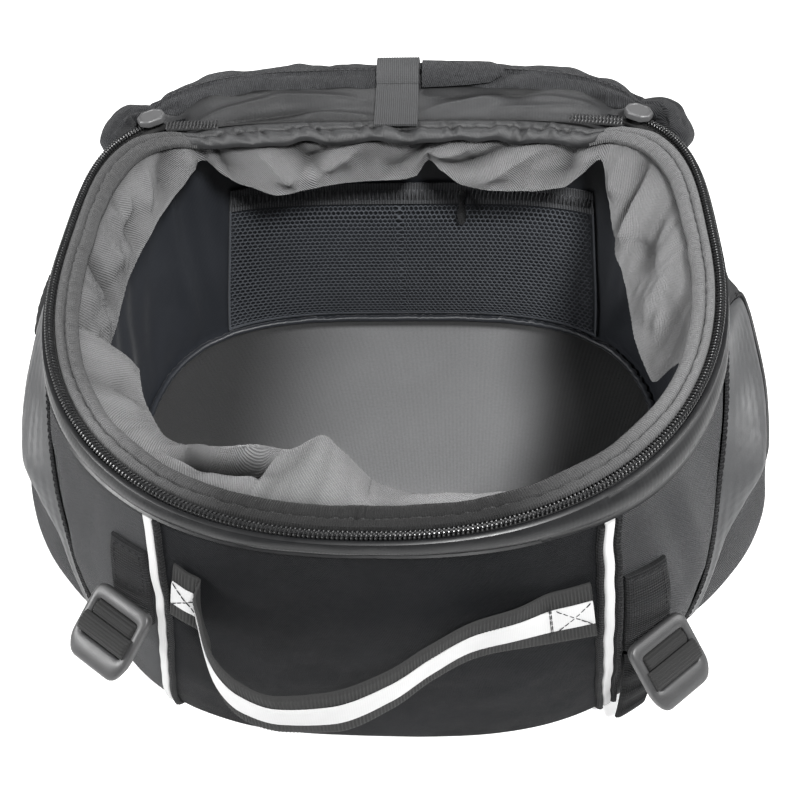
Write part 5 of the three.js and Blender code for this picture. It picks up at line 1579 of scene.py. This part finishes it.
def rounded_outline(corners, radii, turns):
    """Distance from the middle to a rounded outline, direction by direction."""
    points = []
    n = len(corners)
    for k in range(n):
        before, here, after = (np.array(corners[(k + d) % n], float) for d in (-1, 0, 1))
        a, b = unit(before - here), unit(after - here)
        r = radii[k]
        for t in np.linspace(0, 1, 9):
            points.append((here + a * r) * (1 - t) ** 2 + here * 2 * t * (1 - t) + (here + b * r) * t * t)
    points = np.array(points)
    found = np.zeros((len(turns), 2))
    for i, turn in enumerate(turns):
        ray = np.array([math.cos(turn), math.sin(turn)])
        best = 0.0
        for p, q in zip(points, np.roll(points, -1, 0)):
            side = q - p
            cross = ray[0] * side[1] - ray[1] * side[0]
            if abs(cross) < 1e-9:
                continue
            reach = (p[0] * side[1] - p[1] * side[0]) / cross
            share = (p[0] * ray[1] - p[1] * ray[0]) / cross
            if reach > 0 and -1e-6 <= share <= 1 + 1e-6:
                best = max(best, reach)
        found[i] = ray * best
    return found


class GEARBAG_OT_buckles(bpy.types.Operator):
    """Sews the strap tabs and hangs the ladder buckles with their wound webbing"""

    bl_idname = "gearbag.buckles"
    bl_label = "Strap tabs and buckles"

    def execute(self, context):
        turns = math.tau * (np.arange(96) + 0.5) / 96
        w, h = BUCKLE_WIDE / 2, BUCKLE_TALL
        centre_y = SLOT_TOP + SLOT_TALL / 2
        corners = [(-w, centre_y), (-w, centre_y - h), (-w + 4, centre_y - h - BUCKLE_TONGUE),
                   (w - 4, centre_y - h - BUCKLE_TONGUE), (w, centre_y - h), (w, centre_y)]
        outer = rounded_outline(corners, (6, 5, 3.5, 3.5, 5, 6), turns)
        sw, sh = SLOT_WIDE / 2, SLOT_TALL / 2
        inner = rounded_outline([(-sw, sh), (-sw, -sh), (sw, -sh), (sw, sh)], (2, 2, 2, 2), turns)
        profile = [(0.0, 0.8), (0.0, 3.6), (0.03, 4.2), (0.1, 4.6), (0.5, 4.75), (0.86, 4.55), (0.95, 4.1), (1.0, 3.3),
                   (1.0, 1.2), (0.95, 0.4), (0.86, 0.0), (0.12, 0.0)]
        for name in SIDES:
            matrix = buckle_matrix(name)
            rings = []
            for t, z in profile:
                flat = inner + (outer - inner) * t
                drop = np.clip((-flat[:, 1] - sh - 3) / 12, 0, 1) ** 1.5 * (1.6 if z > 2 else 0.0)
                rings.append(np.column_stack([flat[:, 0], flat[:, 1] - centre_y, z - drop]))
            n = len(turns)
            rings = np.array(rings)
            count = len(rings)
            k, i = index_pairs(count, n)
            nk, ni = (k + 1) % count, (i + 1) % n
            faces = np.stack([k * n + i, k * n + ni, nk * n + ni, nk * n + i], 1)
            body = placed(Form(rings.reshape(-1, 3), faces), matrix)
            piece(f"ladder_buckle_{name}", body, "moulded plastic", [f"buckle_{name}"], 60)

            forms = []
            for top_y, low_y, half_x, foot, tall in (
                (sh - 0.4, 0.4, sw - 0.4, 0.3, 5.6),
                (1.8, -sh + 1.4, sw + 1.6, 4.9, 7.8),
                (1.2, -sh + 0.4, sw - 0.4, 0.3, 5.0),
            ):
                x, y = grid(np.linspace(-half_x, half_x, 24), np.linspace(top_y, low_y, 40))
                across = np.clip((top_y - y) / (top_y - low_y), 0, 1)
                edge = np.clip(half_x - np.abs(x), 0, 1) ** 0.5
                arch = np.sin(np.pi * np.clip(across, 0.001, 0.999)) ** 0.5
                ribs = 0.22 * np.sin(math.tau * y / 1.6)
                height = foot + 0.4 + (tall - foot - 0.4) * arch * (0.75 + 0.25 * edge) + ribs
                top = np.stack([x, y - centre_y, height], -1)
                forms.append(shell(top, np.stack([x, y - centre_y, foot + 0 * x], -1)))
            web = placed(joined(forms), matrix)
            piece(f"wound_webbing_{name}", web, "webbing", [f"buckle_webbing_{name}"], 70)
            self.tab(name)
        z = spread(TAIL["z"][0], TAIL["z"][-1], 0.5)
        row = row_at(TAIL, "z", z)
        t, zz = grid(np.linspace(0, 1, 14), z)
        a = row["start"] + (row["end"] - row["start"]) * t
        edge = np.clip(np.minimum(t, 1 - t) * 12, 0.2, 1)
        front = wall(a, zz, row["out"] + 0.9 + 0.9 * edge + 0.16 * np.sin(math.tau * zz / 1.7))
        tail = shell(front, wall(a, zz, row["out"] + 0 * t))
        piece("strap_free_end", tail, "crossed webbing", ["strap_tail_right"])
        return {"FINISHED"}

    def tab(self, name):
        rows = TABS[name]
        z = spread(rows["z"][0], rows["z"][-1], 0.45)
        start, end = curve_at(rows["z"], rows["start"], z), curve_at(rows["z"], rows["end"], z)
        t, zz = grid(np.linspace(0, 1, 22), z)
        a = start + (end - start) * t
        edge = np.clip(np.minimum(np.minimum(t, 1 - t) * 26, rows["z"][-1] - zz), 0.2, 1)
        ribs = 0.13 * np.sin(math.tau * zz / 1.7)
        wave = ripple(a, zz, 111, (18, 30), 0.3)
        out = 0.75 + 2.0 * (0.5 + 0.5 * edge) + ribs + wave * 0.6
        front = wall(a, zz, out)
        patch = shell(front, wall(a, zz, 0.7 + 0 * t))
        piece(f"strap_patch_{name}", patch, "crossed webbing", [f"strap_tab_{name}"])
        up = normals(front)
        if up[10, 5] @ np.array([0, -1.0, 0]) < 0:
            up = -up
        last = len(z) - 6
        first = max(0, last - int(24 / 0.45))
        down, across = slice(first, last), slice(3, -3)
        lines = (3, down), (-4, down), (across, last), (across, first)
        threads = joined([sewn(front[line], up[line]) for line in lines])
        piece(f"patch_stitches_{name}", threads, "dark thread")


def pocket_grid(sign, u, z):
    """Points of a side pocket: u runs over front edge, crease, belly, back slope and back edge."""
    row = row_at(POCKET, "z", z)
    side = "left" if sign < 0 else "right"
    slope = row["belly"] + 0.7 * (row["back"] - row["belly"])
    stops_y = [row["front"], row["crease"], row["belly"], slope, row["back"]]
    stops_out = [0 * z, row["crease_out"], row["belly_out"], row["belly_out"] * 0.72, 0 * z]
    keys = np.arange(5.0)
    y, out = np.zeros((len(u), len(z))), np.zeros((len(u), len(z)))
    for k in range(len(z)):
        y[:, k] = curve_at(keys, np.array([stop[k] for stop in stops_y]), u)
        out[:, k] = curve_at(keys, np.array([stop[k] for stop in stops_out]), u)
    zz = np.broadcast_to(z, y.shape)
    bulge = np.clip(dent_at(sign * along_at_y(y), zz), 0, None)
    x = side_x(y, zz) + out * POCKET_REACH[side] + bulge + 0.7
    return np.stack([sign * x, y, zz], -1)


class GEARBAG_OT_side_pockets(bpy.types.Operator):
    """Sews the bulging side pockets with their coated fronts, tapes, edge and pull"""

    bl_idname = "gearbag.side_pockets"
    bl_label = "Side pockets"

    def execute(self, context):
        for name, sign in SIDES.items():
            z = spread(POCKET_FOOT, POCKET_TOP, 1.6)
            for part, u, finish_name, slot in (
                ("gusset", np.linspace(0, 0.985, 26), "pocket film", "film"),
                ("face", np.linspace(1.015, 4, 60), "side twill", "shell"),
            ):
                base = pocket_grid(sign, u, z)
                uu, zz = grid(u, z)
                up = normals(base)
                if (up[:, len(z) // 2, 0] * sign).sum() < 0:
                    up = -up
                wave = ripple(base[..., 1], zz, 121 + sign, (24, 40, 66), 0.7)
                if part == "gusset":
                    reach = np.linalg.norm(base - base[:1], axis=2)
                    scale = np.sin(math.tau * zz / 4.6 + np.pi * np.floor(reach / 5.2)) * 0.12
                    wave = (0.1 * np.sin(math.tau * reach / 5.2) + scale) * np.clip(uu * 4, 0, 1) + wave * 0.4
                span = (uu - u[0]) / (u[-1] - u[0])
                edge = np.minimum(np.minimum(span, 1 - span) * 40, np.minimum(zz - POCKET_FOOT, POCKET_TOP - zz))
                wave = wave * np.clip(edge / 8, 0, 1) - 0.5 * bell(edge, 0, 2)
                front = base + up * (1.9 + wave)[..., None]
                nodes = [f"pocket_{part}_{name}"]
                piece(f"side_pocket_{part}_{name}", shell(front, base), finish_name, nodes)
            self.tape(name, sign)
        self.edge()
        self.pull()
        return {"FINISHED"}

    def tape(self, name, sign):
        z = spread(24, POCKET_TOP, 0.5)
        row = row_at(POCKET, "z", z)
        ahead, zz = grid(np.linspace(POCKET_TAPE_FAR, POCKET_TAPE_NEAR, 12), z)
        y = row["front"] - ahead
        bulge = np.clip(dent_at(sign * along_at_y(y), zz), 0, None)
        edge = np.clip(np.minimum(ahead - POCKET_TAPE_NEAR, POCKET_TAPE_FAR - ahead) / 0.8, 0.2, 1)
        ribs = 0.16 * np.sin(math.tau * zz / 1.9)
        x = side_x(y, zz) + bulge + 1.0
        front = np.stack([sign * (x + 0.4 + 1.2 * edge + ribs), y, zz], -1)
        back = np.stack([sign * x, y, zz], -1)
        piece(f"pocket_front_tape_{name}", shell(front, back), "crossed webbing", [f"pocket_tape_{name}"])
        up = unit(np.tile([float(sign), -0.5, 0], (len(z), 1)))
        threads = joined([sewn(line, up) for line in (front[2], front[-3])])
        piece(f"pocket_tape_stitches_{name}", threads, "dark thread")

    def edge(self):
        z = spread(108, 158, 1.0)
        ribs = []
        for u in (1.05, 1.13):
            base = pocket_grid(1, np.array([u, u + 0.03]), z)
            out = normals(base)[0]
            out = out * np.sign(out[:, :1])
            taper = np.clip(np.minimum(z - 107.5, 158.5 - z) / 4, 0.3, 1)
            ribs.append(tube(base[0] + out * 2.0, np.tile([0, 1.0, 0], (len(z), 1)), taper, 8))
        piece("pocket_rubber_edge", joined(ribs), "rubber", ["pocket_edge_right"])

    def pull(self):
        keys = np.linspace(0, 1, 4)
        t = np.linspace(0, 1, 24)
        path = np.stack([curve_at(keys, PULL[axis], t) for axis in "xyz"], -1)
        half = curve_at(keys, PULL["half"], t)
        direction = np.array([0, 0.7, 0.7])
        u = np.array([-1, -0.8, 0, 0.8, 1.0])
        thick = np.array([0.3, 1.0, 1.15, 1.0, 0.3])
        flat = path[:, None] + direction * (half[:, None] * u)[..., None]
        ribs = 1 + 0.12 * np.sin(t * 40)[:, None]
        front = flat + np.array([-1.0, 0, 0]) * (1.3 + 1.2 * thick * ribs)[..., None]
        back = flat + np.array([-1.0, 0, 0]) * (1.3 - 1.2 * thick)[..., None]
        piece("pocket_zip_pull", shell(front, back), "rubber", ["pocket_pull_left"])


# Camera in metres, and the stage floor in millimetres.
CAMERA_PLACE = (0.0406, -0.4181, 0.5894)
CAMERA_RIGHT = (0.99859, 0.03590, -0.03936)
CAMERA_UP = (-0.00150, 0.75745, 0.65292)
CAMERA_AHEAD = (-0.05326, 0.65192, -0.75642)
CAMERA_LENS = 51.44
STAGE_RADIUS = 1500.0


class GEARBAG_OT_stage(bpy.types.Operator):
    """Sets the pale floor, the soft lights and the camera"""

    bl_idname = "gearbag.stage"
    bl_label = "Stage"

    def light(self, name, place, target, size, power):
        data = bpy.data.lights.new(name, "AREA")
        data.shape = "DISK"
        data.size = size
        data.energy = power
        made = bpy.data.objects.new(name, data)
        made.location = place
        made.rotation_euler = (Vector(target) - Vector(place)).to_track_quat("-Z", "Y").to_euler()
        bpy.context.scene.collection.objects.link(made)

    def execute(self, context):
        scene = context.scene
        turns = full_turn(64)
        ring = np.stack([np.cos(turns), np.sin(turns), 0 * turns], -1)
        rings = [ring * STAGE_RADIUS * share + [0, 0, z] for share, z in ((0.1, -2), (1, -2), (1, -0.05), (0.1, -0.05))]
        form = stack(rings)
        mesh = bpy.data.meshes.new("pale_floor")
        mesh.from_pydata((form.points * MM).tolist(), [], form.faces.tolist())
        paper = bpy.data.materials.new("pale paper")
        paper.use_nodes = True
        tree = paper.node_tree
        surface = tree.nodes["Principled BSDF"]
        spot = node(tree, "TexNoise", {"Vector": node(tree, "TexCoord").outputs["Object"], "Scale": 3.0})
        shade = node(tree, "MapRange", {0: spot.outputs[0], 3: 0.84, 4: 0.9})
        tree.links.new(shade.outputs[0], surface.inputs["Base Color"])
        surface.inputs["Roughness"].default_value = 0.9
        surface.inputs["Specular IOR Level"].default_value = 0.2
        surface.inputs["Emission Color"].default_value = (1, 1, 1, 1)
        seen = node(tree, "LightPath").outputs["Is Camera Ray"]
        glow = sum_of(tree, "MULTIPLY_ADD", seen, 0.35, 0.15)
        tree.links.new(glow, surface.inputs["Emission Strength"])
        mesh.materials.append(paper)
        floor = bpy.data.objects.new("pale_floor", mesh)
        scene.collection.objects.link(floor)

        world = bpy.data.worlds.new("soft white room")
        world.use_nodes = True
        background = world.node_tree.nodes["Background"]
        background.inputs[0].default_value = (1.0, 1.0, 1.0, 1)
        seen = node(world.node_tree, "LightPath").outputs["Is Camera Ray"]
        strength = sum_of(world.node_tree, "MULTIPLY_ADD", seen, 0.9, 0.1)
        world.node_tree.links.new(strength, background.inputs[1])
        scene.world = world
        self.light("key light", (0.42, -0.75, 1.4), (0, 0, 0.1), 0.3, 32)
        self.light("left light", (-1.2, -0.3, 0.8), (0, 0, 0.12), 0.6, 20)
        self.light("right light", (1.2, -0.1, 0.8), (0, 0, 0.12), 0.6, 11)
        self.light("back light", (-0.02, 0.9, 1.2), (0, 0.1, 0.15), 0.35, 6)
        scene.view_settings.view_transform = "Standard"

        camera = bpy.data.cameras.new("photo camera")
        camera.lens = CAMERA_LENS
        camera.sensor_width = 36
        camera.clip_start = 0.01
        made = bpy.data.objects.new("photo camera", camera)
        right, up, ahead = (Vector(v) for v in (CAMERA_RIGHT, CAMERA_UP, CAMERA_AHEAD))
        matrix = Matrix((right, up, -ahead)).transposed().to_4x4()
        matrix.translation = Vector(CAMERA_PLACE)
        made.matrix_world = matrix
        scene.collection.objects.link(made)
        scene.camera = made
        return {"FINISHED"}


OPERATORS = (
    GEARBAG_OT_finishes,
    GEARBAG_OT_shell,
    GEARBAG_OT_lining,
    GEARBAG_OT_net_pocket,
    GEARBAG_OT_rim_zip,
    GEARBAG_OT_liner,
    GEARBAG_OT_back_edge,
    GEARBAG_OT_lid,
    GEARBAG_OT_sliders,
    GEARBAG_OT_front_strips,
    GEARBAG_OT_carrying_strap,
    GEARBAG_OT_buckles,
    GEARBAG_OT_side_pockets,
    GEARBAG_OT_stage,
)


class GEARBAG_PT_panel(bpy.types.Panel):
    """Lists the steps that build the bag, with its sizes and colours"""

    bl_idname = "GEARBAG_PT_panel"
    bl_label = "Gear bag"
    bl_space_type = "VIEW_3D"
    bl_region_type = "UI"
    bl_category = "Gear bag"

    def draw(self, context):
        for operator in OPERATORS:
            self.layout.operator(operator.bl_idname)
        for group in (context.scene.gear_bag_sizes, context.scene.gear_bag_colours):
            for name in group.__annotations__:
                self.layout.prop(group, name)


CLASSES = (GearBagSizes, GearBagColours, *OPERATORS, GEARBAG_PT_panel)


def register():
    for each in CLASSES:
        bpy.utils.register_class(each)
    bpy.types.Scene.gear_bag_sizes = PointerProperty(type=GearBagSizes)
    bpy.types.Scene.gear_bag_colours = PointerProperty(type=GearBagColours)


def unregister():
    del bpy.types.Scene.gear_bag_colours
    del bpy.types.Scene.gear_bag_sizes
    for each in reversed(CLASSES):
        bpy.utils.unregister_class(each)


def main():
    register()
    for operator in OPERATORS:
        group, name = operator.bl_idname.split(".")
        getattr(getattr(bpy.ops, group), name)()


if __name__ == "__main__":
    main()
